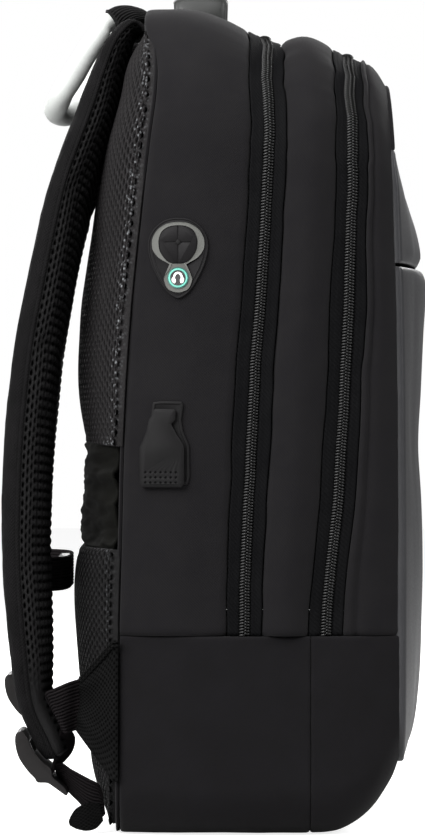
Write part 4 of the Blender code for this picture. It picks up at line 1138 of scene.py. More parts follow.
@dataclass
class FrontFace:
    """The front: a matte yoke over a satin flap and a satin pocket, each standing out as it is filled."""

    columns: int = 90
    fullness: float = 2.6
    lowest: float = 0.0400
    pocket: Rows = (
        *((0.0400, 0.0000), (0.0422, 0.0020), (0.0470, 0.0050), (0.0560, 0.0085), (0.0700, 0.0112)),
        *((0.0900, 0.0132), (0.1150, 0.0142), (0.1550, 0.0150), (0.1900, 0.0147), (0.2220, 0.0132)),
        *((0.2550, 0.0150), (0.2900, 0.0168), (0.3170, 0.0190), (0.3265, 0.0186)),
    )
    flap: Rows = (
        *((0.3285, 0.0140), (0.3360, 0.0160), (0.3500, 0.0140), (0.3650, 0.0095), (0.3800, 0.0050)),
        (0.3940, 0.0010),
    )
    yoke: Rows = ((0.3943, 0.0010), (0.4070, 0.0006), (0.4200, 0.0003), (0.4300, 0.0001), (0.4360, 0.0))

    def surface(self, table: Rows, step: float) -> tuple[Array, Array, Array]:
        """A face piece's points, with its heights and its places across, from -1 to 1."""
        table = np.array(table)
        low, high = table[0, 0], table[-1, 0]
        height = high - low
        z = low + edge_steps(height, step) * height
        across = np.sin(np.linspace(-0.5, 0.5, self.columns + 1) * PI)
        crown = through(table[:, 0], table[:, 1], z)
        seam = FORM.seam("face", z)
        wide = FORM.half_width("face", self.lowest, z)
        at_top = np.maximum(0.0, (z - self.yoke[0][0]) / (self.yoke[-1][0] - self.yoke[0][0]))
        out = crown[:, None] * (1.0 - np.abs(across)[None, :] ** self.fullness)
        lift = at_top[:, None] * FORM.crown * (1.0 - across[None, :] ** 2)
        sunk = 1.3 * MM * smooth_step(0.366, 0.393, z)
        y = (seam + sunk)[:, None] - FORM.gap / 2 - FORM.panel - out
        points = np.stack([wide[:, None] * across, y, z[:, None] + lift], axis=-1)
        return points, z[:, None] + 0.0 * y, across[None, :] + 0.0 * y

    def folds(self, points: Array, z: Array, across: Array, seed: int) -> Array:
        """Long soft folds that run down the satin and fan out from the upper corners."""
        ripple = Ripple(seed)
        x = points[..., 0]
        long = ripple.rough(x / 0.038 + (z - 0.2) * 2.0, z / 0.16, 2) * 1.1 * MM
        fine = ripple.rough(x / 0.013 + z * 9.0, z / 0.07, 2) * 0.30 * MM
        near = np.exp(-(((np.abs(x) - 0.118 - 0.09 * (z - 0.25)) / 0.010) ** 2)) * np.exp(-(((z - 0.235) / 0.045) ** 2))
        return (long + fine) * (1.0 - np.abs(across) ** 8) - 1.3 * MM * near

    def build_part(
        self, name: str, node: str, table: Rows, finish: Cloth, seed: int, step: float, rolls: Sequence[float]
    ) -> Object:
        """One part of the front as a sheet.

        Args:
            name: the piece's name.
            node: the CAD node that it stands for.
            table: heights, and how far the part stands out at each.
            finish: its cloth.
            seed: the seed of its folds.
            step: the distance between rows.
            rolls: how deep its edges roll in, below, above and at the sides, in millimetres.

        Returns:
            The piece.
        """
        points, z, across = self.surface(table, step)
        uv = map_of(points)
        d_low, d_high = uv[..., 1], uv[-1:, :, 1] - uv[..., 1]
        wide = np.abs(points[:, -1:, 0])
        d_side = wide * (1.0 - np.abs(across))
        depth = (
            rolled(d_low, 2.6 * MM, rolls[0] * MM)
            + rolled(d_high, 4.0 * MM, rolls[1] * MM)
            + rolled(d_side, 3.0 * MM, rolls[2] * MM)
        )
        inner = smooth_step(0.0, 8.0 * MM, np.minimum(np.minimum(d_low, d_high), d_side))
        out = depth
        if finish is SATIN_CLOTH:
            out = out + self.folds(points, z, across, seed) * inner
        points = points - np.stack([0.0 * out, out, 0.0 * out], axis=-1)
        forwards = np.zeros(points.shape)
        forwards[..., 1] = -1.0
        points, uv = tuck(points, uv, forwards)
        piece = grid_piece(name, points, uv, middle=(0.0, 0.0, 0.22))
        thicken(piece, FORM.panel)
        dress(piece, finish, [node])
        return piece

    def build(self) -> list[Object]:
        """Yoke, flap and pocket."""
        parts = (
            ("yoke_panel", "front_yoke", self.yoke, BODY_CLOTH, 31, 2.5 * MM, (0.3, 1.2, 0.5)),
            ("satin_flap", "front_flap", self.flap, SATIN_CLOTH, 32, 2.2 * MM, (1.6, 1.0, 1.4)),
            ("satin_pocket", "front_pocket", self.pocket, SATIN_CLOTH, 33, 3.0 * MM, (1.6, 1.6, 1.4)),
        )
        return [self.build_part(*part) for part in parts]


@dataclass
class BackPanel:
    """The flat back that closes the body behind its pads."""

    top: float = 0.4810

    def build(self) -> Object:
        """The panel as a sheet."""
        low, high = FORM.base_corner, 0.407
        steps = (np.linspace(0.0, low, 12, endpoint=False), np.linspace(low, high, 60, endpoint=False))
        z = np.concatenate([*steps, np.linspace(high, self.top, 36)])
        across = np.sin(np.linspace(-0.5, 0.5, 61) * PI)
        wide = FORM.half_width("back", 0.0, z) - 1.7 * MM
        y = FORM.back_face(z)[:, None] + 0.0 * across
        points = np.stack([wide[:, None] * across, y, z[:, None] + 0.0 * across], axis=-1)
        uv = map_of(points)
        d_side = wide[:, None] * (1.0 - np.abs(across))
        points[..., 1] += rolled(d_side, 2.5 * MM, 1.0 * MM)
        piece = grid_piece("rear_panel", points, uv, middle=(0.0, 0.0, 0.22))
        thicken(piece, FORM.cloth)
        dress(piece, BODY_CLOTH, ["back_panel"])
        return piece


# ---------------------------------------------------------------- padded pieces


def inflate(
    name: str,
    points: Array,
    pinned: Array,
    wrap: bool,
    pressure: float,
    cap: float,
    middle: Sequence[float] | None,
) -> Array:
    """Blow up a coarse grid of cloth between the points that are sewn down.

    Args:
        name: a name for the work.
        points: the coarse grid.
        pinned: 1 where a point is sewn down, 0 where it is free.
        wrap: whether the columns wrap.
        pressure: the cloth pressure.
        cap: how far a point may move, in metres.
        middle: a point that the faces turn away from.
    """
    flat_uv = np.zeros((points.shape[0], points.shape[1] + int(wrap), 2))
    piece = grid_piece(name + "_work", points, flat_uv, wrap=wrap, middle=middle)
    group = piece.vertex_groups.new(name="sewn")
    flat = pinned.ravel()
    for i in np.nonzero(flat > 0.01)[0]:
        group.add([int(i)], float(flat[i]), "REPLACE")
    cloth = piece.modifiers.new("Cloth", "CLOTH")
    settings = cloth.settings
    settings.quality = 5
    settings.mass = 0.15
    settings.tension_stiffness = settings.compression_stiffness = 12.0
    settings.shear_stiffness = 6.0
    settings.bending_stiffness = 0.8
    settings.use_pressure = True
    settings.uniform_pressure_force = pressure
    settings.effector_weights.gravity = 0.0
    settings.vertex_group_mass = "sewn"
    scene = bpy.context.scene
    scene.frame_start, scene.frame_end = 1, 20
    cloth.point_cache.frame_start, cloth.point_cache.frame_end = 1, 20
    for number in range(1, 21):
        scene.frame_set(number)
    graph = bpy.context.evaluated_depsgraph_get()
    moved = piece.evaluated_get(graph).to_mesh()
    result = np.zeros(len(moved.vertices) * 3)
    moved.vertices.foreach_get("co", result)
    result = result.reshape(points.shape)
    scene.frame_set(1)
    bpy.data.objects.remove(piece, do_unlink=True)
    shift = result - points
    size = np.linalg.norm(shift, axis=-1, keepdims=True)
    shift = shift * np.minimum(1.0, cap / np.maximum(size, 1e-9))
    LOG.info("%s: simulated, moved up to %.1f mm", name, float(size.max()) * 1000)
    return points + shift


def cells(u: Array, v: Array, pitch: tuple[float, float], half: tuple[float, float]) -> Array:
    """How deep in an open cell of spacer mesh each place is, from 0 to 1.

    Args:
        u: places across the mesh, in metres.
        v: places along it.
        pitch: the distance between two cells across and along.
        half: half of a cell's size across and along.

    Returns:
        1 in the middle of a cell and 0 on the threads.
    """
    deepest = np.zeros(np.broadcast(u, v).shape)
    for shift in (0.0, 0.5):
        a, b = u / pitch[0] + shift, v / pitch[1] + shift
        du, dv = (a - np.round(a)) * pitch[0] / half[0], (b - np.round(b)) * pitch[1] / half[1]
        deepest = np.maximum(deepest, smooth_step(1.15, 0.55, np.sqrt(du**2 + dv**2)))
    return deepest


def grid_normals(points: Array, wrap: bool, middle: Sequence[float] | None = None) -> Array:
    """Unit normals of a grid, away from its middle."""
    down = np.gradient(points, axis=0)
    if wrap:
        across = (np.roll(points, -1, axis=1) - np.roll(points, 1, axis=1)) / 2
    else:
        across = np.gradient(points, axis=1)
    normal = unit(np.cross(down, across))
    origin = points.reshape(-1, 3).mean(axis=0) if middle is None else np.asarray(middle, float)
    if ((points - origin) * normal).sum() < 0.0:
        normal = -normal
    return normal


@dataclass
class BackPad:
    """A padded piece of the back: a pillow of foam under spacer mesh, sewn down round its rim."""

    node: str
    name: str
    rows: Rows
    pitch: tuple[float, float]
    half: tuple[float, float]
    seed: int
    edge: float = 4.0 * MM
    start: float = 0.93
    spacing: float = 6.0 * MM
    fine: int = 8
    finish: Mesh3D = AIR_MESH
    margin: float = 6.3 * MM

    def coarse(self) -> Array:
        """The pillow before it is filled, as a dome whose rim lies on the back panel."""
        table = np.array(self.rows)
        low, high = table[0, 0], table[-1, 0]
        count = int((high - low) / self.spacing)
        z = np.linspace(low, high, count + 1)
        height, half, full = (through(table[:, 0], table[:, k], z) for k in (1, 2, 3))
        half = half + self.margin
        s = np.linspace(-1.0, 1.0, int(0.30 / self.spacing) | 1)
        a = np.sin(s * PI / 2)
        base = FORM.back_face(z) - 1.5 * MM
        face = mix(
            (FORM.back_face(z) + self.edge)[:, None],
            (FORM.seam("back", z) + height)[:, None],
            1.0 - np.abs(a)[None, :] ** full[:, None],
        )
        points = np.stack([half[:, None] * a, face, z[:, None] + 0.0 * a], axis=-1)
        left, right = points[:, :1].copy(), points[:, -1:].copy()
        left[..., 1] = right[..., 1] = base[:, None]
        points = np.concatenate([left, points, right], axis=1)
        first, last = points[:1].copy(), points[-1:].copy()
        first[..., 1], last[..., 1] = base[0], base[-1]
        return np.concatenate([first, points, last], axis=0)

    def build(self) -> Object:
        """The filled pad with its open cells."""
        points = self.coarse()
        base = FORM.back_face(points[..., 2]) - 1.5 * MM
        small = points.copy()
        small[..., 1] = base + (points[..., 1] - base) * self.start
        pinned = np.zeros(points.shape[:2])
        pinned[[0, -1], :] = 1.0
        pinned[:, [0, -1]] = 1.0
        middle = (0.0, 0.0, float(points[..., 2].mean()))
        filled = inflate(self.name, small, pinned, False, 3.0, 3.5 * MM, middle)
        filled = refine_grid(filled, self.fine, self.fine)
        down = np.linalg.norm(np.diff(filled, axis=0), axis=-1)
        across = np.linalg.norm(np.diff(filled, axis=1), axis=-1)
        v = np.concatenate([np.zeros((1, filled.shape[1])), np.cumsum(down, axis=0)])
        u = np.concatenate([np.zeros((filled.shape[0], 1)), np.cumsum(across, axis=1)], axis=1)
        centre = u[:, u.shape[1] // 2][:, None]
        uv = np.stack([u - centre, filled[..., 2]], axis=-1)
        rim = np.minimum(np.minimum(u, u[:, -1:] - u), np.minimum(v, v[-1:] - v))
        # The cells are pressed in, and the same mask darkens them in the finish as painted shade.
        cell = cells(uv[..., 0], uv[..., 1], self.pitch, self.half) * smooth_step(2.0 * MM, 6.0 * MM, rim)
        normal = grid_normals(filled, False, middle)
        ripple = Ripple(self.seed)
        soft = ripple.rough(uv[..., 0] / 0.045, uv[..., 1] / 0.045, 2) * 0.5 * MM * smooth_step(0.0, 0.02, rim)
        filled = filled + normal * (soft - 2.0 * MM * cell)[..., None]
        # The band where painted highlights go: a little in from the rim, fading in between 6 and 12 cm up.
        painted_highlight_band = np.exp(-(((rim - 8.5 * MM) / (4.2 * MM)) ** 2)) * 0.9 * smooth_step(0.06, 0.12, filled[..., 2])
        piece = grid_piece(
            self.name, filled, uv, closed=True, middle=middle, attributes={"cell": cell, "painted_highlight_band": painted_highlight_band}
        )
        dress(piece, self.finish, [self.node])
        return piece


@dataclass
class LuggageBand:
    """The band between the pads: a bridge of plain cloth, wrinkled across, open behind."""

    rows: Rows = (
        (0.1650, 0.0250, 0.1420, 3.4),
        (0.1780, 0.0250, 0.1425, 3.4),
        (0.2050, 0.0256, 0.1425, 3.4),
        (0.2255, 0.0252, 0.1415, 3.4),
    )
    thickness: float = 2.5 * MM

    def build(self) -> Object:
        """The band as a sheet."""
        table = np.array(self.rows)
        z = mix(table[0, 0] - 0.8 * MM, table[-1, 0] + 0.8 * MM, edge_steps(0.0621, 1.2 * MM))
        height, half, full = (through(table[:, 0], table[:, k], z) for k in (1, 2, 3))
        a = np.sin(np.linspace(-0.5, 0.5, 181) * PI)
        face = mix(
            (FORM.back_face(z) + FORM.gap + self.thickness)[:, None],
            (FORM.seam("back", z) + height)[:, None],
            1.0 - np.abs(a)[None, :] ** full[:, None],
        )
        points = np.stack([half[:, None] * a, face, z[:, None] + 0.0 * a], axis=-1)
        uv = map_of(points)
        normal = grid_normals(points, False, (0.0, 0.0, 0.19))
        ripple = Ripple(51)
        wrinkle = ripple.rough(uv[..., 0] / 0.045, uv[..., 1] / 0.0085, 3) * 2.6 * MM
        d = np.minimum(uv[..., 1], uv[-1:, :, 1] - uv[..., 1])
        lift = wrinkle * smooth_step(0.0, 3.0 * MM, d) + rolled(d, 1.5 * MM, 0.6 * MM)
        points = points + normal * lift[..., None]
        piece = grid_piece("trolley_band", points, uv, middle=(0.0, 0.0, 0.19))
        thicken(piece, self.thickness)
        dress(piece, BAND_CLOTH, ["luggage_band"])
        return piece


class Side(Enum):
    """Which side of the bag a piece is on."""

    NEAR = -1
    FAR = 1

    @property
    def tag(self) -> str:
        """The side's word in the CAD node names."""
        return "left" if self is Side.NEAR else "right"


FAR_SHIFT: Rows = (
    *((0.0400, 0.0192, 0.0165), (0.0700, 0.0170, 0.0145), (0.1000, 0.0125, 0.0100), (0.1400, 0.0098, 0.0030)),
    *((0.1650, 0.0092, 0.0000), (0.2050, 0.0080, 0.0000), (0.2500, 0.0070, 0.0000), (0.2950, 0.0072, 0.0000)),
    *((0.3400, 0.0068, 0.0000), (0.3700, 0.0046, 0.0000), (0.4100, 0.0010, 0.0000), (0.4400, 0.0000, 0.0000)),
)


def far_shift(z: Any) -> Array:
    """How far the far strap's points are moved, by height."""
    table = np.array(FAR_SHIFT)
    moved = through(table[:, 0], table[:, 1:], z)
    return np.concatenate([np.zeros((*moved.shape[:-1], 1)), moved], axis=-1)


@dataclass
class ShoulderStrap:
    """A padded shoulder strap: smooth cloth outside, spacer mesh inside, bound along both edges."""

    side: Side
    rows: Rows = (
        *((0.0490, 0.0366, 0.4680, 0.0500, 0.0050), (0.0490, 0.0520, 0.4685, 0.0540, 0.0100)),
        *((0.0580, 0.0585, 0.4530, 0.0600, 0.0150), (0.0650, 0.0645, 0.4350, 0.0620, 0.0175)),
        *((0.0730, 0.0705, 0.4130, 0.0630, 0.0205), (0.0820, 0.0790, 0.3890, 0.0640, 0.0215)),
        *((0.0890, 0.0855, 0.3670, 0.0640, 0.0225), (0.0970, 0.0915, 0.3375, 0.0640, 0.0235)),
        *((0.1030, 0.0972, 0.3080, 0.0640, 0.0245), (0.1080, 0.1022, 0.2790, 0.0640, 0.0245)),
        *((0.1110, 0.1054, 0.2500, 0.0640, 0.0245), (0.1130, 0.1077, 0.2205, 0.0640, 0.0245)),
        *((0.1150, 0.1087, 0.1915, 0.0640, 0.0245), (0.1160, 0.1089, 0.1625, 0.0640, 0.0240)),
        *((0.1170, 0.1075, 0.1335, 0.0640, 0.0235), (0.1175, 0.1054, 0.1045, 0.0580, 0.0220)),
        *((0.1170, 0.1028, 0.0757, 0.0450, 0.0190), (0.1170, 0.0945, 0.0560, 0.0420, 0.0185)),
        (0.1170, 0.0905, 0.0468, 0.0390, 0.0145),
        (0.1170, 0.0894, 0.0446, 0.0310, 0.0105),
        (0.1170, 0.0889, 0.0434, 0.0150, 0.0045),
    )
    rolls: tuple[float, float] = (math.radians(5.0), math.radians(-1.0))
    fullness: float = 3.2
    around: int = 40
    per_row: int = 5
    fine: int = 6

    def rings(self) -> tuple[Array, Array]:
        """The strap's sections before it is filled, and the row that each is at."""
        table = np.array(self.rows)
        place = table[:, :3] * np.array([self.side.value, 1.0, 1.0])
        if self.side is Side.FAR:
            place = place + far_shift(table[:, 2])
        roll = self.rolls[0 if self.side is Side.NEAR else 1]
        rolls = roll * np.minimum(1.0, np.arange(len(table)) / 4)
        data = refine(np.concatenate([place, table[:, 3:], rolls[:, None]], axis=1), self.per_row)
        path, width, depth, turn = data[:, :3], data[:, 3:4] / 2, data[:, 4:5] / 2, data[:, 5:6]
        coarse = np.concatenate([place[1:2] - place[0:1], place[2:] - place[:-2], place[-1:] - place[-2:-1]])
        along = unit(refine(unit(coarse), self.per_row))
        hint = np.array([1.0, 0.0, 0.0])
        across = unit(hint - along * (along @ hint)[:, None])
        other = np.cross(along, across)
        across, other = across * np.cos(turn) + other * np.sin(turn), other * np.cos(turn) - across * np.sin(turn)
        angle = (np.arange(self.around) / self.around * 2 * PI)[None, :]
        c, s = np.cos(angle), np.sin(angle)
        reach = (np.abs(c) ** self.fullness + np.abs(s) ** self.fullness) ** (-1.0 / self.fullness)
        ring = (
            path[:, None]
            + across[:, None] * (width * c * reach)[..., None]
            + other[:, None] * (depth * s * reach)[..., None]
        )
        return ring, other

    def seam_places(self, rings: Array, other: Array) -> tuple[int, int]:
        """The columns where the outer cloth meets the mesh, on the near edge and the far one."""
        mid = rings[len(rings) // 2]
        centre = mid.mean(axis=0)
        back = mid[:, 1] - centre[1]
        x = mid[:, 0] - centre[0]
        level = 0.12 * (back.max() - back.min())
        edge = [np.argmin(np.abs(back - level) + 10.0 * (np.sign(x) != side)) for side in (-1.0, 1.0)]
        return int(edge[0]), int(edge[1])

    def build(self) -> list[Object]:
        """The strap, in two cloths on one filled form, with its binding."""
        rings, other = self.rings()
        left, right = self.seam_places(rings, other)
        centre = rings.mean(axis=1, keepdims=True)
        small = centre + (rings - centre) * np.array([0.97, 0.95, 0.97])
        pinned = np.zeros(rings.shape[:2])
        pinned[:, [left, right]] = 0.9
        pinned[:2], pinned[-2:] = 1.0, 1.0
        name = "shoulder_strap_" + self.side.tag
        filled = inflate(name, small, pinned, True, 2.2, 2.2 * MM, None)
        fine = refine_grid(filled, self.fine, self.fine, wrap=True)
        ends = rings.shape[1] * self.fine
        normal = grid_normals_of_tube(fine)
        a, b = left * self.fine, right * self.fine
        outer, inner = self.outer_columns(fine, a, b, ends)
        made = [
            self.shell(name + "_cloth", fine, normal, outer, True),
            self.shell(name + "_mesh", fine, normal, inner, False),
        ]
        for tag, column in (("a", a), ("b", b)):
            path = spaced(fine[2:-2, column], 2.0 * MM)
            binding = tube_piece(f"{name}_binding_{tag}", path, 1.3 * MM, 8)
            made.append(dress(binding, STRAP_CLOTH))
        return made

    def outer_columns(self, fine: Array, a: int, b: int, count: int) -> tuple[Array, Array]:
        """The columns of the outer cloth and of the inner mesh, each from seam to seam."""
        one = np.arange(a, a + ((b - a) % count) + 1) % count
        two = np.arange(b, b + ((a - b) % count) + 1) % count
        mid = fine[len(fine) // 2]
        if mid[one].mean(axis=0)[1] > mid[two].mean(axis=0)[1]:
            return one, two
        return two, one

    def shell(self, name: str, fine: Array, normal: Array, columns: Array, outer: bool) -> Object:
        """One cloth of the strap, from seam to seam, closed at its back and its ends."""
        points, out = fine[:, columns], normal[:, columns]
        down = np.linalg.norm(np.diff(points, axis=0), axis=-1).mean(axis=1)
        v = np.concatenate([[0.0], np.cumsum(down)])[:, None] + 0.0 * points[..., 0]
        steps = np.linalg.norm(np.diff(points, axis=1), axis=-1)
        u = np.concatenate([np.zeros((len(points), 1)), np.cumsum(steps, axis=1)], axis=1)
        uv = np.stack([u, v], axis=-1)
        d = np.minimum(u, u[:, -1:] - u)
        lift = rolled(d, 2.4 * MM, 0.9 * MM)
        attributes = None
        if outer:
            ripple = Ripple(61)
            lift = lift + ripple.rough(u / 0.030, v / 0.040, 2) * 0.30 * MM * smooth_step(0.0, 6.0 * MM, d)
            crease = ripple.rough(u / 0.0050 + 3.0, v / 0.0110, 2) * 0.55 * MM
            lift = lift + crease * (0.35 + 0.65 * smooth_step(0.15, 0.06, points[..., 2]))
        else:
            middle = u - u[:, -1:] / 2
            holes = cells(d, v, (5.4 * MM, 5.2 * MM), (0.9 * MM, 1.75 * MM))
            ribs = smooth_step(0.15, 0.95, np.abs(np.sin(PI * v / (5.2 * MM)))) - 0.5
            flat = smooth_step(9.0 * MM, 13.0 * MM, d)
            foot = smooth_step(0.075, 0.115, points[..., 2])
            cell = holes * (1.0 - 0.35 * flat) * smooth_step(1.0 * MM, 2.5 * MM, d) * foot
            wave = 0.75 * MM * ribs * flat + 0.10 * MM * np.sin(2 * PI * middle / (1.7 * MM)) * flat
            lift = lift + wave - 1.5 * MM * cell
            # Painted shade: the cells and the grooves between the ribs are darker in the finish, the rib tops lighter.
            attributes = {"cell": np.clip(cell + 0.8 * flat * (0.5 - ribs), 0.0, 1.0), "painted_highlight_band": 0.0 * cell}
        points = points + out * lift[..., None]
        behind = mix(points[:, :1], points[:, -1:], 0.5)
        closing = [uv[:, -1:] + np.array([k * 0.030, 0.0]) for k in (1, 2)]
        if attributes:
            attributes = {key: np.concatenate([value, value[:, :1]], axis=1) for key, value in attributes.items()}
        ring, ring_uv = np.concatenate([points, behind], axis=1), np.concatenate([uv, *closing], axis=1)
        piece = grid_piece(name, ring, ring_uv, wrap=True, closed=True, attributes=attributes)
        self.face_out(piece, points, out)
        dress(piece, STRAP_CLOTH if outer else STRAP_MESH, ["shoulder_strap_" + self.side.tag] if outer else [])
        return piece

    def face_out(self, piece: Object, points: Array, out: Array) -> None:
        """Turn the piece's faces so that the cloth faces away from the strap's middle."""
        face = piece.data.polygons[len(points) // 2 * (points.shape[1] + 1) + points.shape[1] // 2]
        wanted = out[len(points) // 2, points.shape[1] // 2]
        if Vector(wanted).dot(face.normal) < 0.0:
            piece.data.flip_normals()


def grid_normals_of_tube(rings: Array) -> Array:
    """Unit normals of a closed tube of rings, away from each ring's own middle."""
    down = np.gradient(rings, axis=0)
    across = (np.roll(rings, -1, axis=1) - np.roll(rings, 1, axis=1)) / 2
    normal = unit(np.cross(down, across))
    outward = rings - rings.mean(axis=1, keepdims=True)
    sign = np.sign((normal * outward).sum(axis=(0, 1, 2)))
    return normal * sign


# ---------------------------------------------------------------- webbing


def band_rings(
    table: Rows, side: float, thickness: float, steps: int, ribs: int, rib: float
) -> tuple[Array, Array]:
    """Sections of a flat band of webbing, with a rib along each few threads.

    Args:
        table: the middle line and half of the width, as a vector across it.
        side: -1 for the near side and 1 for the far one.
        thickness: the band's thickness.
        steps: how finely each row is cut.
        ribs: how many ribs lie side by side.
        rib: the ribs' height.

    Returns:
        The sections and the middle line.
    """
    data = refine(np.array(table), steps)
    flip = np.array([side, 1.0, 1.0])
    centre, half = data[:, :3] * flip, data[:, 3:6] * flip
    along = unit(np.gradient(centre, axis=0))
    normal = unit(np.cross(along, half))
    s = np.linspace(-1.0, 1.0, ribs * 6 + 1)
    wave = rib * np.abs(np.sin(np.linspace(0.0, ribs * PI, len(s))))
    edge = 1.0 - 0.35 * np.abs(s) ** 12
    flat = centre[:, None] + half[:, None] * s[None, :, None]
    rise = normal[:, None] * (thickness / 2 * edge + wave - rib)[None, :, None]
    return np.concatenate([flat + rise, (flat - rise)[:, ::-1]], axis=1), centre


def rib_map(rings: Array, centre: Array, pitch: float) -> Array:
    """A cloth map for a band, with one pitch to each of its ribs."""
    half = rings.shape[1] // 2
    ribs = (half - 1) // 6
    u = np.concatenate([np.arange(half) / 6, ribs + np.arange(half) / 6, [2.0 * ribs]]) * pitch
    return np.stack(np.meshgrid(u, lengths(centre)), axis=-1)


@dataclass
class LowerStrap:
    """What joins a shoulder strap to the bag: a cloth wing, webbing, the buckle and a free tail."""

    side: Side
    webbing: Rows = (
        (0.1300, 0.0735, 0.0752, 0.0000, -0.0016, 0.0150),
        (0.1322, 0.0790, 0.0740, 0.0005, -0.0010, 0.0149),
        (0.1368, 0.0832, 0.0728, 0.0010, 0.0008, 0.0144),
        (0.1400, 0.0872, 0.0712, 0.0005, 0.0035, 0.0132),
        (0.1398, 0.0903, 0.0702, 0.0010, 0.0054, 0.0118),
        (0.1350, 0.0898, 0.0680, 0.0060, 0.0045, 0.0092),
        (0.1260, 0.0842, 0.0620, 0.0105, 0.0025, 0.0050),
        (0.1215, 0.0845, 0.0540, 0.0110, 0.0045, 0.0010),
        (0.1215, 0.0858, 0.0465, 0.0110, 0.0045, 0.0000),
        (0.1205, 0.0888, 0.0405, 0.0118, 0.0030, 0.0000),
        (0.1200, 0.0925, 0.0350, 0.0125, 0.0000, 0.0000),
    )
    tail: Rows = (
        (0.1200, 0.0905, 0.0352, 0.0110, 0.0010, 0.0050),
        (0.1220, 0.0850, 0.0312, 0.0060, 0.0020, 0.0092),
        (0.1246, 0.0794, 0.0268, 0.0040, 0.0024, 0.0102),
        (0.1270, 0.0738, 0.0222, 0.0010, 0.0022, 0.0116),
        (0.1282, 0.0690, 0.0198, 0.0003, 0.0020, 0.0114),
        (0.1284, 0.0650, 0.0190, 0.0000, 0.0014, 0.0098),
        (0.1276, 0.0630, 0.0180, 0.0000, 0.0010, 0.0072),
    )
    tail_end: Rows = (
        (0.1296, 0.0640, 0.0124, 0.0000, 0.0010, 0.0052),
        (0.1300, 0.0682, 0.0102, 0.0004, 0.0010, 0.0074),
        (0.1302, 0.0730, 0.0092, 0.0008, 0.0006, 0.0078),
        (0.1300, 0.0776, 0.0082, 0.0006, 0.0010, 0.0062),
        (0.1290, 0.0806, 0.0066, 0.0004, 0.0010, 0.0036),
        (0.1284, 0.0826, 0.0056, 0.0004, 0.0004, 0.0012),
    )
    far_webbing: Rows = (
        (0.1330, 0.0777, 0.0745, 0.0000, -0.0016, 0.0150),
        (0.1300, 0.0840, 0.0665, 0.0040, -0.0008, 0.0125),
        (0.1255, 0.0893, 0.0560, 0.0090, 0.0000, 0.0080),
        (0.1220, 0.0925, 0.0500, 0.0120, 0.0000, 0.0030),
        (0.1200, 0.0975, 0.0475, 0.0125, 0.0000, 0.0000),
        (0.1200, 0.1040, 0.0490, 0.0125, 0.0000, 0.0000),
        (0.1200, 0.1107, 0.0515, 0.0125, 0.0000, 0.0000),
    )
    far_tail: Rows = (
        (0.1200, 0.1069, 0.0403, 0.0120, 0.0000, 0.0000),
        (0.1200, 0.1106, 0.0428, 0.0120, 0.0000, 0.0000),
        (0.1205, 0.1122, 0.0419, 0.0115, 0.0015, 0.0000),
        (0.1215, 0.1127, 0.0385, 0.0090, 0.0060, 0.0000),
        (0.1225, 0.1120, 0.0330, 0.0050, 0.0095, 0.0000),
        (0.1230, 0.1110, 0.0265, 0.0010, 0.0105, 0.0000),
        (0.1230, 0.1105, 0.0205, 0.0000, 0.0100, 0.0000),
    )
    thickness: float = 1.6 * MM
    wing_seam: Rows = (
        (0.1508, 0.0538, 0.1120),
        (0.1508, 0.0540, 0.0850),
        (0.1508, 0.0540, 0.0580),
        (0.1508, 0.0540, 0.0320),
    )
    wing_tip: Rows = (
        (0.1335, 0.0755, 0.0905),
        (0.1330, 0.0768, 0.0805),
        (0.1330, 0.0778, 0.0695),
        (0.1335, 0.0788, 0.0595),
    )

    def web(self, name: str, node: str, table: Rows, rib: float = 0.55 * MM, finish: Cloth = WEBBING) -> Object:
        """A band of webbing as a sheet."""
        ribs = 15 if rib < 0.6 * MM else 11
        rings, centre = band_rings(table, self.side.value, self.thickness, 10, ribs, rib)
        piece = grid_piece(name, rings, rib_map(rings, centre, finish.thread), wrap=True, closed=True)
        dress(piece, finish, [node])
        return piece

    def wing(self) -> Object:
        """The cloth triangle between the bag's lower corner and the webbing."""
        flip = np.array([self.side.value, 1.0, 1.0])
        seam, tip = np.array(self.wing_seam) * flip, np.array(self.wing_tip) * flip
        bend = seam + np.array([0.0, 0.0030, 0.0])
        rows = np.stack([seam] + [mix(bend, tip, k / 4) for k in range(5)], axis=1)
        points = refine_grid(rows, 14, 8)
        uv = map_of(points)
        u, v = uv[..., 0], uv[..., 1]
        normal = grid_normals(points, False, (0.0, 0.02, 0.07))
        ripple = Ripple(71)
        fan = ripple.rough(v / 0.014, u / 0.05, 2) * 1.3 * MM * smooth_step(0.0, 0.012, u)
        d = np.minimum(v, v[-1:] - v)
        hem = 0.5 * MM * (smooth_step(0.0, 0.4 * MM, d) - smooth_step(3.6 * MM, 4.1 * MM, d))
        points = points + normal * (fan * smooth_step(0.0, 5.0 * MM, d) + hem)[..., None]
        top = points[0] if points[0, :, 2].mean() > points[-1, :, 2].mean() else points[-1]
        for number, drop in enumerate((0.6 * MM, 2.9 * MM)):
            path = top + np.array([self.side.value * 1.0 * MM, 0.0, -drop])
            pipe = tube_piece(f"strap_wing_piping_{self.side.tag}_{number}", spaced(path, 1.5 * MM), 1.0 * MM, 8)
            dress(pipe, WING_CLOTH)
        piece = grid_piece("strap_wing_cloth_" + self.side.tag, points, uv, middle=(0.0, 0.02, 0.07))
        thicken(piece, 2.0 * MM)
        dress(piece, WING_CLOTH, ["strap_wing_" + self.side.tag])
        return piece

    def build(self) -> list[Object]:
        """Wing, webbing and tail."""
        tag = self.side.tag
        near = self.side is Side.NEAR
        if near:
            self.web("webbing_end_" + tag, "strap_tail_" + tag, self.tail_end, 0.05 * MM, WING_CLOTH)
        return [
            self.wing(),
            self.web("lower_webbing_" + tag, "strap_webbing_" + tag, self.webbing if near else self.far_webbing),
            self.web("webbing_tail_" + tag, "strap_tail_" + tag, self.tail if near else self.far_tail, 0.72 * MM),
        ]


# ---------------------------------------------------------------- hard pieces


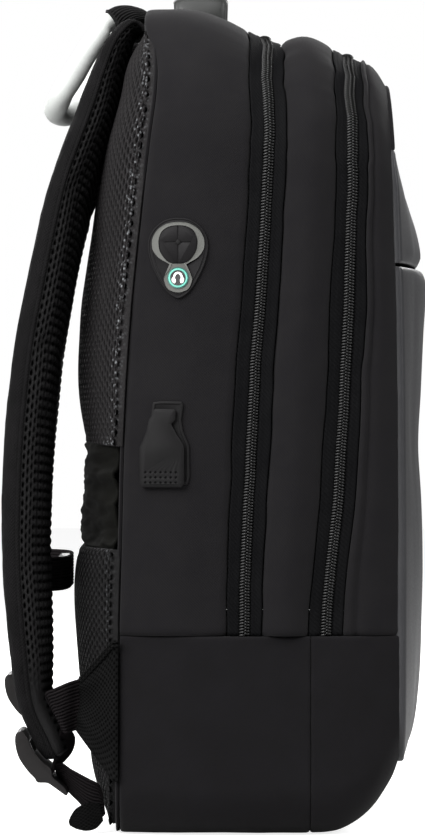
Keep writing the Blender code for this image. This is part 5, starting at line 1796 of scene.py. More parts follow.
def at_work(piece: Object, mode: str = "FACE") -> None:
    """Start editing a piece with everything in it selected."""
    select_only(piece)
    bpy.ops.object.mode_set(mode="EDIT")
    bpy.ops.mesh.select_mode(type=mode)
    bpy.ops.mesh.select_all(action="SELECT")


def at_rest() -> None:
    """Stop editing."""
    bpy.ops.object.mode_set(mode="OBJECT")


def pick(piece: Object, wanted: Array) -> None:
    """Select only some faces, and go on editing."""
    at_rest()
    piece.data.polygons.foreach_set("select", list(map(bool, wanted)))
    piece.data.update()
    bpy.ops.object.mode_set(mode="EDIT")


def face_normals(piece: Object) -> Array:
    """The faces' normals."""
    made = np.zeros(len(piece.data.polygons) * 3)
    piece.data.polygons.foreach_get("normal", made)
    return made.reshape(-1, 3)


def corners_of(piece: Object) -> Array:
    """The vertices' places."""
    made = np.zeros(len(piece.data.vertices) * 3)
    piece.data.vertices.foreach_get("co", made)
    return made.reshape(-1, 3)


def place_corners(piece: Object, corners: Array) -> None:
    """Move the vertices to new places."""
    piece.data.vertices.foreach_set("co", np.asarray(corners, float).ravel())
    piece.data.update()


def soften(piece: Object, width: float, segments: int = 2, angle: float = 35.0) -> None:
    """Bevel the sharp edges and shade the rest smooth."""
    bevel = piece.modifiers.new("Bevel", "BEVEL")
    bevel.width = width
    bevel.segments = segments
    bevel.limit_method = "ANGLE"
    bevel.angle_limit = math.radians(angle)
    bevel.harden_normals = False
    apply_modifiers(piece)
    bpy.ops.object.shade_smooth_by_angle(angle=math.radians(45.0))


def plate(name: str, outline: Array, thickness: float) -> Object:
    """A flat plate in the YZ plane, from a filled circle drawn out to an outline.

    Args:
        name: the piece's name.
        outline: its Y and Z corners, in order.
        thickness: how far it stands out towards -X.

    Returns:
        The piece, in edit mode, with its outer face selected.
    """
    bpy.ops.mesh.primitive_circle_add(vertices=len(outline), radius=1.0, fill_type="NGON")
    piece = bpy.context.object
    piece.name = name
    place_corners(piece, np.stack([0.0 * outline[:, 0], outline[:, 0], outline[:, 1]], axis=1))
    if face_normals(piece)[0][0] > 0.0:
        piece.data.flip_normals()
    at_work(piece)
    bpy.ops.mesh.extrude_region_move(TRANSFORM_OT_translate={"value": (-thickness, 0.0, 0.0)})
    return piece


def round_outline(points: Rows, steps: int, even: float) -> Array:
    """A smooth closed outline through a few points, with even steps."""
    fine = refine(np.array(points, float), steps, wrap=True)
    return spaced(np.concatenate([fine, fine[:1]]), even)[:-1]


def mirrored(half: Rows, centre: float) -> Array:
    """A whole outline from its half: offsets from a centre line in Y, and heights."""
    half = np.array(half, float)
    inner = half[1:-1][::-1] * np.array([-1.0, 1.0])
    return np.concatenate([half, inner]) + np.array([centre, 0.0])


def settle_on_side(piece: Object, lift: float) -> None:
    """Lay a flat plate on the near side of the bag, following its curve."""
    at_rest()
    corners = corners_of(piece)
    corners[:, 0] -= FORM.side_reach(corners[:, 1], corners[:, 2]) + lift
    place_corners(piece, corners)


def face_outwards(piece: Object) -> None:
    """Recalculate a piece's normals so that they all face outwards."""
    at_work(piece)
    bpy.ops.mesh.normals_make_consistent(inside=False)
    at_rest()


@dataclass
class HeadphonePort:
    """The cable port: a soft rubber patch, a slit membrane in a grey ring, and a printed badge."""

    centre: float = 0.0197
    lift: float = 0.6 * MM
    patch: Rows = (
        *((0.0, 0.3536), (0.0068, 0.3526), (0.0125, 0.3489), (0.0162, 0.3435), (0.0173, 0.3378)),
        *((0.0165, 0.3315), (0.0145, 0.3252), (0.0114, 0.3189), (0.0083, 0.3138), (0.0046, 0.3098)),
        (0.0, 0.3076),
    )
    ring: Rows = (
        *((0.0, 0.3512), (0.0062, 0.3504), (0.0115, 0.3472), (0.0145, 0.3425), (0.0150, 0.3388)),
        *((0.0143, 0.3350), (0.0112, 0.3310), (0.0070, 0.3284), (0.0044, 0.3266), (0.0047, 0.3240)),
        *((0.0078, 0.3200), (0.0077, 0.3168), (0.0055, 0.3128), (0.0, 0.3110)),
    )
    hole: Rows = (
        *((0.0, 0.3494), (0.0052, 0.3487), (0.0090, 0.3462), (0.0109, 0.3422), (0.0111, 0.3385)),
        *((0.0104, 0.3348), (0.0085, 0.3315), (0.0062, 0.3290), (0.0036, 0.3277), (0.0, 0.3274)),
    )

    def rim(self) -> Object:
        """The patch: two fine raised lines run round it."""
        outline = round_outline(mirrored(self.patch, self.centre), 4, 1.6 * MM)
        piece = plate("port_patch", outline, 0.8 * MM)
        for width, rise in ((0.25, 0.30), (0.45, 0.0), (0.25, -0.40), (0.9, 0.0), (0.25, 0.35), (0.4, 0.0), (0.3, -0.35)):
            bpy.ops.mesh.inset(thickness=width * MM, depth=rise * MM)
        settle_on_side(piece, self.lift)
        soften(piece, 0.12 * MM, 2, 25.0)
        return dress(piece, PATCH_RUBBER, ["headphone_patch"])

    def grey_ring(self) -> Object:
        """The grey ring with the lobe below it, round an open middle."""
        outer = round_outline(mirrored(self.ring, self.centre), 6, 0.9 * MM)
        middle = np.array([self.centre, 0.3385])
        hole = round_outline(mirrored(self.hole, self.centre), 6, 0.5 * MM) - middle
        turn = np.arctan2(hole[:, 1], hole[:, 0])
        order = np.argsort(turn)
        reach = np.linalg.norm(hole, axis=1)[order]
        wanted = outer - middle
        angle = np.arctan2(wanted[:, 1], wanted[:, 0])
        inner_reach = np.interp(angle, turn[order], reach, period=2 * PI)
        inner = middle + np.stack([np.cos(angle), np.sin(angle)], axis=1) * inner_reach[:, None]
        bpy.ops.mesh.primitive_circle_add(vertices=len(outer), radius=1.0, fill_type="NOTHING")
        piece = bpy.context.object
        piece.name = "port_ring"
        at_work(piece, "EDGE")
        bpy.ops.mesh.extrude_edges_move()
        at_rest()
        both = np.concatenate([outer, inner])
        place_corners(piece, np.stack([0.0 * both[:, 0], both[:, 0], both[:, 1]], axis=1))
        if face_normals(piece)[0][0] > 0.0:
            piece.data.flip_normals()
        at_work(piece)
        bpy.ops.mesh.extrude_region_move(TRANSFORM_OT_translate={"value": (-0.75 * MM, 0.0, 0.0)})
        bpy.ops.mesh.inset(thickness=0.25 * MM, depth=0.20 * MM)
        settle_on_side(piece, self.lift + 0.75 * MM)
        face_outwards(piece)
        soften(piece, 0.12 * MM, 2, 25.0)
        return dress(piece, RING_RUBBER, ["headphone_ring"])

    def membrane(self) -> Object:
        """The rubber in the ring, slit crosswise in four leaves round a small stud."""
        hole = round_outline(mirrored(self.hole, self.centre), 6, 0.9 * MM)
        piece = plate("port_membrane", hole, 0.3 * MM)
        for direction, place in (((0.0, 1.0, 0.0), self.centre), ((0.0, 0.0, 1.0), 0.3397)):
            spot = tuple(place * d for d in direction)
            bpy.ops.mesh.select_all(action="SELECT")
            bpy.ops.mesh.bisect(plane_co=spot, plane_no=direction)
        at_rest()
        pick(piece, face_normals(piece)[:, 0] < -0.9)
        bpy.ops.mesh.inset(thickness=0.30 * MM, depth=0.0, use_individual=True)
        bpy.ops.mesh.inset(thickness=0.15 * MM, depth=0.45 * MM, use_individual=True)
        settle_on_side(piece, self.lift + 0.5 * MM)
        soften(piece, 0.10 * MM, 1, 25.0)
        return dress(piece, PATCH_RUBBER)

    def stud(self) -> Object:
        """The small diamond at the crossing."""
        bpy.ops.mesh.primitive_cylinder_add(vertices=4, radius=1.7 * MM, depth=1.3 * MM, rotation=(0.0, PI / 2, 0.0))
        piece = bpy.context.object
        piece.name = "port_stud"
        bpy.ops.object.transform_apply(location=True, rotation=True, scale=True)
        at_work(piece)
        pick(piece, np.abs(face_normals(piece)[:, 0]) > 0.9)
        bpy.ops.mesh.inset(thickness=0.35 * MM, depth=0.15 * MM)
        at_rest()
        corners = corners_of(piece) + np.array([0.0, self.centre, 0.3397])
        place_corners(piece, corners)
        settle_on_side(piece, self.lift + 1.0 * MM)
        soften(piece, 0.15 * MM, 2)
        return dress(piece, PORT_RUBBER)

    def disc(self, name: str, finish: Any, radius: float, inner: float, base: float, rise: float) -> Object:
        """A disc or ring of the badge: printed ink, except the edge disc, which is painted shadow."""
        angle = np.arange(48) / 48 * 2 * PI
        outline = np.stack([np.cos(angle), np.sin(angle)], axis=1) * radius + np.array([self.centre, 0.3193])
        piece = plate(name, outline, rise)
        if inner > 0.0:
            bpy.ops.mesh.inset(thickness=0.1 * MM, depth=0.05 * MM)
            bpy.ops.mesh.inset(thickness=radius - inner - 0.1 * MM, depth=0.0)
            bpy.ops.mesh.inset(thickness=0.05 * MM, depth=-rise)
        settle_on_side(piece, base)
        return dress(piece, finish, ["headphone_badge"] if inner > 0.0 else [])

    def sign(self) -> Object:
        """The white headphones sign: a bow with a cup at each end."""
        bow = [
            *((-0.00245, -0.0021), (-0.0023, -0.0002), (-0.0019, 0.0014), (-0.0011, 0.0024), (0.0, 0.00275)),
            *((0.0011, 0.0024), (0.0019, 0.0014), (0.0023, -0.0002), (0.00245, -0.0021)),
        ]
        path = refine(np.array([[0.0, y, z] for y, z in bow]), 4)
        rings = tube_rings(path, 0.62 * MM, 8)
        rings[..., 0] *= 0.35
        bow_piece = grid_piece("badge_sign", rings, map_of(rings, wrap=True), wrap=True, closed=True)
        parts = [bow_piece]
        for side in (-1.0, 1.0):
            bpy.ops.mesh.primitive_uv_sphere_add(segments=16, ring_count=10, radius=1.0, location=(0.0, 0.0, 0.0))
            cup = bpy.context.object
            corners = corners_of(cup) * np.array([0.30, 1.15, 1.75]) * MM
            lean = side * 0.25
            y = corners[:, 1] * math.cos(lean) + corners[:, 2] * math.sin(lean)
            z = corners[:, 2] * math.cos(lean) - corners[:, 1] * math.sin(lean)
            place_corners(cup, np.stack([corners[:, 0], y + side * 2.35 * MM, z - 1.45 * MM], axis=1))
            parts.append(cup)
        select_only(bow_piece)
        for part in parts:
            part.select_set(True)
        bpy.ops.object.join()
        corners = corners_of(bow_piece) + np.array([0.0, self.centre, 0.3193])
        place_corners(bow_piece, corners)
        settle_on_side(bow_piece, self.lift + 2.35 * MM)
        bpy.ops.object.shade_smooth()
        return dress(bow_piece, WHITE_INK)

    def build(self) -> None:
        """All of the port's pieces."""
        self.rim()
        self.grey_ring()
        self.membrane()
        self.stud()
        base = self.lift + 1.55 * MM
        # Painted shadow: a dark disc that shows as a thin line round the teal ring.
        self.disc("badge_painted_shadow", TEAL_RING_SHADOW, 6.1 * MM, 0.0, base, 0.25 * MM)
        self.disc("badge_ring", TEAL_INK, 5.45 * MM, 4.5 * MM, base + 0.25 * MM, 0.40 * MM)
        self.disc("badge_disc", BLACK_INK, 4.7 * MM, 0.0, base + 0.25 * MM, 0.20 * MM)
        self.sign()


@dataclass
class CablePort:
    """The charging port: a moulded frame sewn to the side and a hinged rubber cover with three rows of holes."""

    lift: float = 0.6 * MM
    frame: Rows = (
        *((0.0300, 0.2490), (0.0175, 0.2488), (0.0166, 0.2470), (0.0178, 0.2385), (0.0168, 0.2320)),
        *((0.0133, 0.2238), (0.0130, 0.2060), (0.0140, 0.2018), (0.0165, 0.2010), (0.0395, 0.2010)),
        *((0.0408, 0.2030), (0.0410, 0.2240), (0.0372, 0.2330), (0.0352, 0.2400), (0.0340, 0.2484)),
    )
    cover: Rows = (
        *((0.0338, 0.2436), (0.0328, 0.2446), (0.0222, 0.2446), (0.0210, 0.2436), (0.0212, 0.2385)),
        *((0.0236, 0.2360), (0.0210, 0.2310), (0.0166, 0.2240), (0.0162, 0.2215), (0.0162, 0.2022)),
        *((0.0178, 0.2000), (0.0402, 0.2000), (0.0417, 0.2020), (0.0417, 0.2230), (0.0398, 0.2262)),
        *((0.0376, 0.2320), (0.0362, 0.2388), (0.0345, 0.2405)),
    )
    cover_thickness: float = 3.2 * MM
    hole_radius: float = 0.72 * MM

    def base(self) -> Object:
        """The frame, with a raised edge."""
        piece = plate("cable_port_frame", np.array(self.frame)[::-1], 1.2 * MM)
        bpy.ops.mesh.inset(thickness=0.4 * MM, depth=0.25 * MM)
        bpy.ops.mesh.inset(thickness=1.0 * MM, depth=0.0)
        bpy.ops.mesh.inset(thickness=0.3 * MM, depth=-0.45 * MM)
        settle_on_side(piece, self.lift)
        soften(piece, 0.25 * MM, 3, 25.0)
        return dress(piece, PORT_RUBBER, ["usb_base"])

    def punch(self) -> Object:
        """The 21 pins that make the holes, modelled once and copied."""
        bpy.ops.mesh.primitive_cylinder_add(
            vertices=14, radius=self.hole_radius, depth=2.0 * MM, rotation=(0.0, PI / 2, 0.0)
        )
        pin = bpy.context.object
        bpy.ops.object.transform_apply(location=True, rotation=True, scale=True)
        places = []
        for row, height in enumerate((0.2085, 0.2056, 0.2027)):
            for column in range(7):
                y = 0.0382 - column * 2.90 * MM
                place = np.eye(4)
                place[:3, 3] = (-self.cover_thickness, y, height)
                places.append(place)
        made = copies("hole_pins", pin.data, np.array(places))
        bpy.data.objects.remove(pin, do_unlink=True)
        return made

    def lid(self) -> Object:
        """The cover: its neck is narrow and thin, and its body swells to a rounded edge."""
        piece = plate("cable_port_cover", np.array(self.cover)[::-1], self.cover_thickness - 0.9 * MM)
        bpy.ops.mesh.inset(thickness=0.8 * MM, depth=0.55 * MM)
        bpy.ops.mesh.inset(thickness=1.0 * MM, depth=0.35 * MM)
        at_rest()
        pins = self.punch()
        cut = piece.modifiers.new("Holes", "BOOLEAN")
        cut.operation = "DIFFERENCE"
        cut.object = pins
        cut.solver = "EXACT"
        apply_modifiers(piece)
        bpy.data.objects.remove(pins, do_unlink=True)
        soften(piece, 0.30 * MM, 3, 25.0)
        corners = corners_of(piece)
        thin = smooth_step(0.2330, 0.2400, corners[:, 2])
        corners[:, 0] *= 1.0 - 0.30 * thin
        place_corners(piece, corners)
        settle_on_side(piece, self.lift + 1.4 * MM)
        return dress(piece, PORT_RUBBER, ["usb_cover"])

    def build(self) -> None:
        """Frame and cover."""
        self.base()
        self.lid()


@dataclass
class LadderLock:
    """The moulded buckle that the webbing runs through: a bent plate with a window and a bar."""

    side: Side
    x: float = 0.1200
    width: float = 0.0360
    outline: Rows = (
        *((0.1130, 0.0578), (0.1134, 0.0520), (0.1113, 0.0442), (0.1062, 0.0366), (0.1023, 0.0326)),
        *((0.1006, 0.0300), (0.0948, 0.0296), (0.0901, 0.0266), (0.0837, 0.0222), (0.0842, 0.0258)),
        *((0.0880, 0.0296), (0.0918, 0.0330), (0.0930, 0.0380), (0.0980, 0.0420), (0.1027, 0.0478)),
        *((0.1063, 0.0552), (0.1094, 0.0594)),
    )
    window: tuple[float, float, float] = (0.0260, 0.0250, 0.0060)

    def build(self) -> Object:
        """The buckle: its outline drawn out across the strap, rounded, and cut through for the webbing."""
        moved = far_shift(0.0)[1:] if self.side is Side.FAR else np.zeros(2)
        outline = round_outline(self.outline, 5, 1.4 * MM) + moved
        piece = plate("strap_buckle_" + self.side.tag, outline, self.width)
        at_rest()
        corners = corners_of(piece) + np.array([self.side.value * self.x + self.width / 2, 0.0, 0.0])
        place_corners(piece, corners)
        place = (self.side.value * self.x, 0.1075 + moved[0], 0.0440 + moved[1])
        bpy.ops.mesh.primitive_cube_add(size=1.0, location=place)
        cutter = bpy.context.object
        cutter.scale = self.window
        cutter.rotation_euler = (math.radians(-58.0), 0.0, 0.0)
        bpy.ops.object.transform_apply(location=True, rotation=True, scale=True)
        cut = piece.modifiers.new("Window", "BOOLEAN")
        cut.operation, cut.solver, cut.object = "DIFFERENCE", "EXACT", cutter
        apply_modifiers(piece)
        bpy.data.objects.remove(cutter, do_unlink=True)
        soften(piece, 1.1 * MM, 4, 40.0)
        return dress(piece, ACETAL, ["ladder_lock_" + self.side.tag])


@dataclass
class ChestStrap:
    """The chest strap: a webbing band between the two shoulder straps and the closed clasp on it."""

    rows: Rows = (
        *((-0.0834, 0.1095), (-0.0795, 0.1020), (-0.0710, 0.0945), (-0.0560, 0.0888), (-0.0300, 0.0864)),
        *((0.0, 0.0862), (0.0300, 0.0866), (0.0560, 0.0905), (0.0710, 0.0985), (0.0800, 0.1090)),
        (0.0833, 0.1180),
    )
    height: float = 0.1470
    width: float = 0.0200
    thickness: float = 1.5 * MM
    clasp: tuple[float, float, float] = (0.0400, 0.0060, 0.0190)

    def band(self) -> Object:
        """The webbing as a sheet."""
        table = [(x, y, self.height, 0.0, 0.0, self.width / 2) for x, y in self.rows]
        rings, centre = band_rings(table, 1.0, self.thickness, 8, 11, 0.35 * MM)
        piece = grid_piece("chest_webbing", rings, rib_map(rings, centre, WEBBING.thread), wrap=True, closed=True)
        dress(piece, WEBBING, ["chest_strap"])
        return piece

    def buckle(self) -> Object:
        """The closed clasp: a body with a socket line and side windows."""
        long, deep, tall = self.clasp
        place = (0.0, 0.0862 + self.thickness / 2 + 0.3 * MM + deep / 2, self.height)
        bpy.ops.mesh.primitive_cube_add(size=1.0, location=place)
        piece = bpy.context.object
        piece.name = "chest_buckle"
        piece.scale = (long, deep, tall)
        bpy.ops.object.transform_apply(location=True, rotation=True, scale=True)
        at_work(piece)
        for x in (-0.0130, -0.0020, 0.0020, 0.0130):
            bpy.ops.mesh.select_all(action="SELECT")
            bpy.ops.mesh.bisect(plane_co=(x, 0.0, 0.0), plane_no=(1.0, 0.0, 0.0))
        at_rest()
        corners = corners_of(piece)
        waist = 1.0 - 0.16 * np.exp(-((corners[:, 0] / 0.006) ** 2))
        ends = 1.0 - 0.18 * smooth_step(0.0160, 0.0200, np.abs(corners[:, 0]))
        corners[:, 2] = self.height + (corners[:, 2] - self.height) * waist * ends
        place_corners(piece, corners)
        normals = face_normals(piece)
        middle = np.array([p.center for p in piece.data.polygons])
        bpy.ops.object.mode_set(mode="EDIT")
        bpy.ops.mesh.select_mode(type="FACE")
        wide = (np.abs(middle[:, 0]) > 0.003) & (np.abs(middle[:, 0]) < 0.012)
        pick(piece, (normals[:, 1] > 0.9) & wide)
        bpy.ops.mesh.inset(thickness=2.2 * MM, depth=0.0, use_individual=True)
        bpy.ops.mesh.inset(thickness=0.4 * MM, depth=-1.6 * MM, use_individual=True)
        at_rest()
        soften(piece, 0.8 * MM, 3)
        return dress(piece, ACETAL, ["chest_clasp"])

    def build(self) -> None:
        """Band and clasp."""
        self.band()
        self.buckle()


@dataclass
class ZipSlider:
    """A cast slider on a coil, with its pull tab hanging down."""

    zip_name: str

    def build(self) -> Object:
        """Body and tab, within the CAD slider's box."""
        node = self.zip_name + "_slider"
        low, high = (np.array(v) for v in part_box(node))
        middle, size = (low + high) / 2, high - low
        bpy.ops.mesh.primitive_cube_add(size=1.0, location=tuple(middle))
        piece = bpy.context.object
        piece.name = node + "_metal"
        piece.scale = tuple(size)
        bpy.ops.object.transform_apply(location=True, rotation=True, scale=True)
        at_work(piece)
        for part in (0.62, 0.70):
            height = float(mix(low[2], high[2], part))
            bpy.ops.mesh.select_all(action="SELECT")
            bpy.ops.mesh.bisect(plane_co=(0.0, 0.0, height), plane_no=(0.0, 0.0, 1.0))
        at_rest()
        corners = corners_of(piece)
        part = (corners[:, 2] - low[2]) / size[2]
        narrow = np.where(part < 0.5, 0.42, np.where(part < 0.66, 0.36, np.where(part < 0.8, 1.0, 0.72)))
        corners[:, 1] = middle[1] + (corners[:, 1] - middle[1]) * narrow
        place_corners(piece, corners)
        normals = face_normals(piece)
        bpy.ops.object.mode_set(mode="EDIT")
        heights = np.array([p.center.z for p in piece.data.polygons])
        pick(piece, (normals[:, 0] > 0.9) & (heights < float(mix(low[2], high[2], 0.6))))
        bpy.ops.mesh.inset(thickness=0.7 * MM, depth=0.0)
        bpy.ops.mesh.inset(thickness=0.3 * MM, depth=-0.5 * MM)
        at_rest()
        soften(piece, 0.5 * MM, 3)
        return dress(piece, GUNMETAL, [node])


@dataclass
class TopHandle:
    """The carry handle: webbing in a moulded grip with a raised edge along each side."""

    rows: Rows = (
        *((0.0, 0.0070, 0.4926, 0.0330, 0.0056), (0.0200, 0.0070, 0.4925, 0.0330, 0.0056)),
        *((0.0380, 0.0070, 0.4922, 0.0330, 0.0056), (0.0470, 0.0070, 0.4908, 0.0330, 0.0058)),
        *((0.0530, 0.0070, 0.4872, 0.0325, 0.0060), (0.0556, 0.0070, 0.4820, 0.0320, 0.0058)),
        (0.0566, 0.0070, 0.4750, 0.0315, 0.0056),
    )
    cuts: int = 60
    sag: float = 3.2 * MM

    def build(self) -> Object:
        """A cube cut in slices and bent along the handle's line, with a groove beside each edge."""
        bpy.ops.mesh.primitive_cube_add(size=2.0)
        piece = bpy.context.object
        piece.name = "carry_grip"
        at_work(piece)
        for k in range(1, self.cuts):
            bpy.ops.mesh.select_all(action="SELECT")
            bpy.ops.mesh.bisect(plane_co=(mix(-1.0, 1.0, k / self.cuts), 0.0, 0.0), plane_no=(1.0, 0.0, 0.0))
        for k in (-0.86, -0.80, -0.74, -0.4, 0.0, 0.4, 0.74, 0.80, 0.86):
            bpy.ops.mesh.select_all(action="SELECT")
            bpy.ops.mesh.bisect(plane_co=(0.0, k, 0.0), plane_no=(0.0, 1.0, 0.0))
        at_rest()
        corners = corners_of(piece)
        table = np.array(self.rows)
        half = np.concatenate([table[:0:-1] * np.array([-1.0, 1, 1, 1, 1]), table])
        keys = np.linspace(-1.0, 1.0, len(half))
        place = through(keys, half, corners[:, 0])
        ahead = through(keys, half, corners[:, 0] + 0.01)[:, :3] - through(keys, half, corners[:, 0] - 0.01)[:, :3]
        along = unit(ahead)
        up = np.stack([-along[:, 2], 0.0 * along[:, 0], along[:, 0]], axis=1)
        y, z = corners[:, 1], corners[:, 2]
        crown = 1.0 - 0.62 * np.abs(y) ** 4
        groove = np.where(np.isclose(np.abs(y), 0.80), 0.78, 1.0)
        made = place[:, :3] + up * (z * place[:, 4] / 2 * crown * groove)[:, None]
        made[:, 1] += y * place[:, 3] / 2
        made[:, 2] -= self.sag * np.abs(y) ** 3 * (1.0 - smooth_step(0.046, 0.056, np.abs(place[:, 0])))
        place_corners(piece, made)
        smooth = piece.modifiers.new("Round", "SUBSURF")
        smooth.levels = smooth.render_levels = 2
        apply_modifiers(piece)
        bpy.ops.object.shade_smooth()
        return dress(piece, GRIP_RUBBER, ["top_handle"])


# ---------------------------------------------------------------- the hanging loop


@dataclass
class HangingLoop:
    """The white padded loop behind the handle, and the two mesh sleeves that hold its ends."""

    rows: Rows = (
        *((0.0402, 0.0590, 0.4800), (0.0409, 0.0642, 0.4760), (0.0427, 0.0702, 0.4665)),
        *((0.0440, 0.0778, 0.4543), (0.0445, 0.0840, 0.4440), (0.0435, 0.0892, 0.4358)),
        *((0.0380, 0.0924, 0.4304), (0.0270, 0.0946, 0.4270), (0.0120, 0.0954, 0.4262)),
    )
    far_shift: Sequence[float] = (0.0, 3.0, 6.0, 8.0, 8.0, 7.5, 6.5, 4.5, 1.0)
    radius: float = 6.8 * MM
    sleeve: Rows = (
        *((0.0380, 0.0391, 0.4796, 0.0300, 0.0050), (0.0385, 0.0450, 0.4812, 0.0240, 0.0085)),
        *((0.0391, 0.0512, 0.4814, 0.0190, 0.0115), (0.0398, 0.0562, 0.4800, 0.0168, 0.0132)),
        (0.0406, 0.0600, 0.4774, 0.0155, 0.0138),
    )

    def tube(self) -> Object:
        """The loop: coated cloth drawn over a soft tube, a little creased where it bends."""
        near = np.array(self.rows) * np.array([-1.0, 1.0, 1.0])
        far = near * np.array([-1.0, 1.0, 1.0])
        far[:, 1] -= np.array(self.far_shift) * MM
        far = far[::-1]
        path = spaced(refine(np.concatenate([near, far]), 8), 1.6 * MM)
        rings = tube_rings(path, 1.0, 48, (0.0, 1.0, 1.0))
        centre = path[:, None]
        along = lengths(path)
        bend = np.abs(path[:, 0])
        turn = np.arange(48) / 48 * 2 * PI
        ripple = Ripple(91)
        crease = ripple.rough(along[:, None] / 0.006, np.sin(turn)[None, :] * 1.5 + 4.0, 2)
        at_bend = np.exp(-(((bend - 0.040) / 0.006) ** 2))[:, None]
        soft = ripple.rough(along[:, None] / 0.03, np.cos(turn)[None, :] + 9.0, 2)
        end = np.minimum(along, along[-1] - along)
        size = self.radius * (1.0 - 0.30 * np.exp(-((end / 0.016) ** 2)))
        reach = size[:, None] + 0.22 * MM * crease * (0.25 + at_bend) + 0.12 * MM * soft
        rings = centre + (rings - centre) * reach[..., None]
        piece = grid_piece("white_loop", rings, map_of(rings, wrap=True), wrap=True, closed=True)
        dress(piece, WHITE_SATIN, ["hang_loop"])
        return piece

    def hold(self, side: Side) -> Object:
        """A sleeve: gathered mesh cloth whose ribs run slanting towards the loop, with a rolled rim."""
        table = refine(np.array(self.sleeve), 10)
        path = table[:, :3] * np.array([side.value, 1.0, 1.0])
        along = unit(np.gradient(path, axis=0))
        hint = np.array([1.0, 0.0, 0.0])
        across = unit(hint - along * (along @ hint)[:, None])
        other = np.cross(along, across)
        angle = np.arange(120) / 120 * 2 * PI
        c, s = np.cos(angle)[None, :], np.sin(angle)[None, :]
        reach = (np.abs(c) ** 2.4 + np.abs(s) ** 2.4) ** (-1 / 2.4)
        v = lengths(path)[:, None]
        rib = np.abs(np.sin(angle[None, :] * 11 + v / (1.7 * MM)))
        end = v[-1] - v
        rim = 0.9 * MM * np.exp(-(((end - 0.8 * MM) / (0.7 * MM)) ** 2))
        more = 0.95 * MM * (rib - 0.6) * smooth_step(0.0, 2.0 * MM, end) + rim
        flow = Ripple(92).rough(v / 0.012, angle[None, :] * 1.2, 2) * 0.5 * MM
        points = (
            path[:, None]
            + across[:, None] * ((table[:, 3:4] / 2 + more + flow) * c * reach)[..., None]
            + other[:, None] * ((table[:, 4:5] / 2 + more + flow * 0.5) * s * reach)[..., None]
        )
        # Painted shade: the grooves between the gathered ribs are darkened in the finish.
        cell = np.clip(1.1 - 1.6 * rib, 0.0, 1.0) * smooth_step(0.0, 2.0 * MM, end)
        piece = grid_piece(
            "loop_sleeve_" + side.tag,
            points,
            map_of(points, wrap=True),
            wrap=True,
            closed=True,
            attributes={"cell": cell, "painted_highlight_band": 0.0 * cell},
        )
        dress(piece, STRAP_MESH, ["hang_loop_sleeve_" + side.tag])
        return piece

    def build(self) -> None:
        """Loop and sleeves."""
        self.tube()
        for side in Side:
            self.hold(side)


# ---------------------------------------------------------------- camera, light and floor


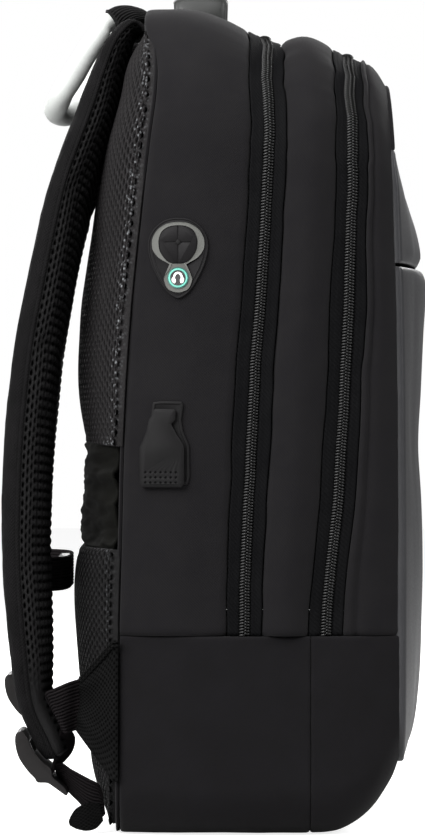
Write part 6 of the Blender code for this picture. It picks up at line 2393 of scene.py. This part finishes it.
@dataclass
class Studio:
    """A pale floor, soft light and the camera at the photograph's place."""

    eye: tuple[float, float, float] = (-2.300, 0.0, 0.2383)
    lens: float = 161.28

    def camera(self) -> None:
        """The camera looks straight along +X."""
        data = bpy.data.cameras.new("camera")
        data.sensor_fit = "AUTO"
        data.sensor_width = 36.0
        data.lens = self.lens
        data.clip_start, data.clip_end = 0.05, 50.0
        made = bpy.data.objects.new("camera", data)
        made.location = self.eye
        made.rotation_euler = (PI / 2, 0.0, -PI / 2)
        bpy.context.scene.collection.objects.link(made)
        bpy.context.scene.camera = made

    def world(self) -> None:
        """White where the camera sees past the bag, and a softer white as light."""
        world = bpy.data.worlds.new("studio")
        bpy.context.scene.world = world
        world.use_nodes = True
        tree = world.node_tree
        tree.nodes.clear()
        seen = put(tree, "ShaderNodeBackground", {"Color": (1.0, 1.0, 1.0, 1.0), "Strength": 1.0})
        light = put(tree, "ShaderNodeBackground", {"Color": (1.0, 1.0, 1.0, 1.0), "Strength": 0.22})
        path = put(tree, "ShaderNodeLightPath")
        ends = {0: path.outputs["Is Camera Ray"], 1: light.outputs[0], 2: seen.outputs[0]}
        both = put(tree, "ShaderNodeMixShader", ends)
        put(tree, "ShaderNodeOutputWorld", {0: both.outputs[0]})

    def lamp(
        self, name: str, place: Sequence[float], aim: Sequence[float], size: tuple[float, float], power: float
    ) -> None:
        """A soft rectangular light."""
        data = bpy.data.lights.new(name, "AREA")
        data.shape = "RECTANGLE"
        data.size, data.size_y = size
        data.energy = power
        made = bpy.data.objects.new(name, data)
        made.location = place
        made.rotation_euler = (Vector(aim) - Vector(place)).to_track_quat("-Z", "Y").to_euler()
        bpy.context.scene.collection.objects.link(made)

    def floor(self) -> None:
        """A pale plain floor that fades into the white behind it."""
        bpy.ops.mesh.primitive_plane_add(size=12.0, location=(0.0, 0.0, -0.0006))
        piece = bpy.context.object
        piece.name = "floor"
        made = bpy.data.materials.new("pale_floor")
        made.use_nodes = True
        tree = made.node_tree
        shader = tree.nodes["Principled BSDF"]
        place = put(tree, "ShaderNodeTexCoord").outputs["Object"]
        cloud = put(tree, "ShaderNodeTexNoise", {"Vector": place, "Scale": 3.0}).outputs[0]
        rough = put(tree, "ShaderNodeMapRange", {"Value": cloud, "To Min": 0.75, "To Max": 0.85}).outputs[0]
        tree.links.new(rough, shader.inputs["Roughness"])
        shader.inputs["Base Color"].default_value = (0.55, 0.55, 0.55, 1.0)
        shader.inputs["Specular IOR Level"].default_value = 0.0
        shader.inputs["Emission Color"].default_value = (1.0, 1.0, 1.0, 1.0)
        path = put(tree, "ShaderNodeLightPath")
        glow = put(tree, "ShaderNodeMapRange", {"Value": path.outputs["Is Camera Ray"], "To Min": 0.05, "To Max": 0.80})
        tree.links.new(glow.outputs[0], shader.inputs["Emission Strength"])
        piece.data.materials.append(made)

    def build(self) -> None:
        """Camera, floor, light and a plain view of the colours."""
        self.camera()
        self.world()
        self.floor()
        self.lamp("overhead_light", (-0.55, 0.25, 1.35), (0.0, 0.0, 0.25), (1.2, 1.2), 24.0)
        self.lamp("front_light", (-0.7, -1.5, 1.15), (0.0, -0.1, 0.36), (0.7, 1.0), 22.0)
        self.lamp("rear_light", (-1.0, 1.5, 1.1), (0.0, 0.05, 0.34), (0.9, 1.2), 34.0)
        self.lamp("key_light", (-2.2, 1.3, 1.5), (0.0, 0.0, 0.28), (1.0, 1.0), 75.0)
        self.lamp("far_light", (1.7, 0.4, 1.1), (0.0, 0.0, 0.25), (1.0, 1.2), 20.0)
        self.lamp("satin_light", (1.3, -0.9, 1.15), (0.0, -0.1, 0.40), (0.5, 0.6), 14.0)
        view = bpy.context.scene.view_settings
        view.view_transform = "Standard"
        view.look = "None"


UPPER_PAD: Rows = (
    *((0.2236, 0.0250, 0.1400, 3.4), (0.2300, 0.0285, 0.1410, 3.4), (0.2600, 0.0345, 0.1415, 3.4)),
    *((0.2950, 0.0358, 0.1410, 3.4), (0.3300, 0.0344, 0.1400, 3.4), (0.3650, 0.0330, 0.1385, 4.2)),
    *((0.3950, 0.0300, 0.1365, 5.5), (0.4150, 0.0268, 0.1335, 6.0), (0.4320, 0.0238, 0.1275, 6.0)),
    *((0.4440, 0.0222, 0.1240, 5.0), (0.4540, 0.0185, 0.1170, 4.0), (0.4620, 0.0120, 0.1080, 3.4)),
    (0.4660, 0.0070, 0.0980, 3.4),
)
LOWER_PAD: Rows = (
    *((0.0055, 0.0066, 0.1180, 3.4), (0.0100, 0.0110, 0.1240, 3.4), (0.0200, 0.0162, 0.1300, 3.4)),
    *((0.0350, 0.0202, 0.1345, 3.4), (0.0520, 0.0222, 0.1370, 3.4), (0.0720, 0.0270, 0.1390, 3.4)),
    *((0.1000, 0.0302, 0.1400, 3.4), (0.1250, 0.0320, 0.1405, 3.4), (0.1480, 0.0324, 0.1405, 3.4)),
    *((0.1600, 0.0300, 0.1400, 3.4), (0.1638, 0.0262, 0.1390, 3.4)),
)


def main() -> None:
    """Build the studio, then the bag's pieces in order, and report each."""
    logging.basicConfig(level=logging.INFO, format="%(name)s %(message)s")
    Studio().build()
    Gusset("rear_gusset", "back", "rear_in", 0.0050, 11).build()
    Gusset("middle_gusset", "rear_out", "front_in", 0.0057, 12).build()
    Gusset("front_gusset", "front_out", "face", 0.0035, 13, welt=2.9 * MM).build()
    Zip("rear_zip", "rear_in", "rear_out").build()
    Zip("front_zip", "front_in", "front_out").build()
    LowerBody().build()
    FrontFace().build()
    BackPanel().build()
    BackPad("upper_back_pad", "upper_pad", UPPER_PAD, (7.0 * MM, 6.0 * MM), (1.50 * MM, 2.4 * MM), 81).build()
    # The lower pad is the same spacer mesh as the upper one; the darker strap mesh on it is painted shade.
    lower_cells = (7.8 * MM, 5.2 * MM), (1.7 * MM, 1.7 * MM)
    BackPad("lower_back_pad", "lower_pad", LOWER_PAD, *lower_cells, 82, finish=STRAP_MESH).build()
    LuggageBand().build()
    for side in Side:
        ShoulderStrap(side).build()
        LowerStrap(side).build()
        LadderLock(side).build()
    ChestStrap().build()
    HangingLoop().build()
    TopHandle().build()
    HeadphonePort().build()
    CablePort().build()
    for zip_name in ("rear_zip", "front_zip"):
        ZipSlider(zip_name).build()


if __name__ == "__main__":
    main()
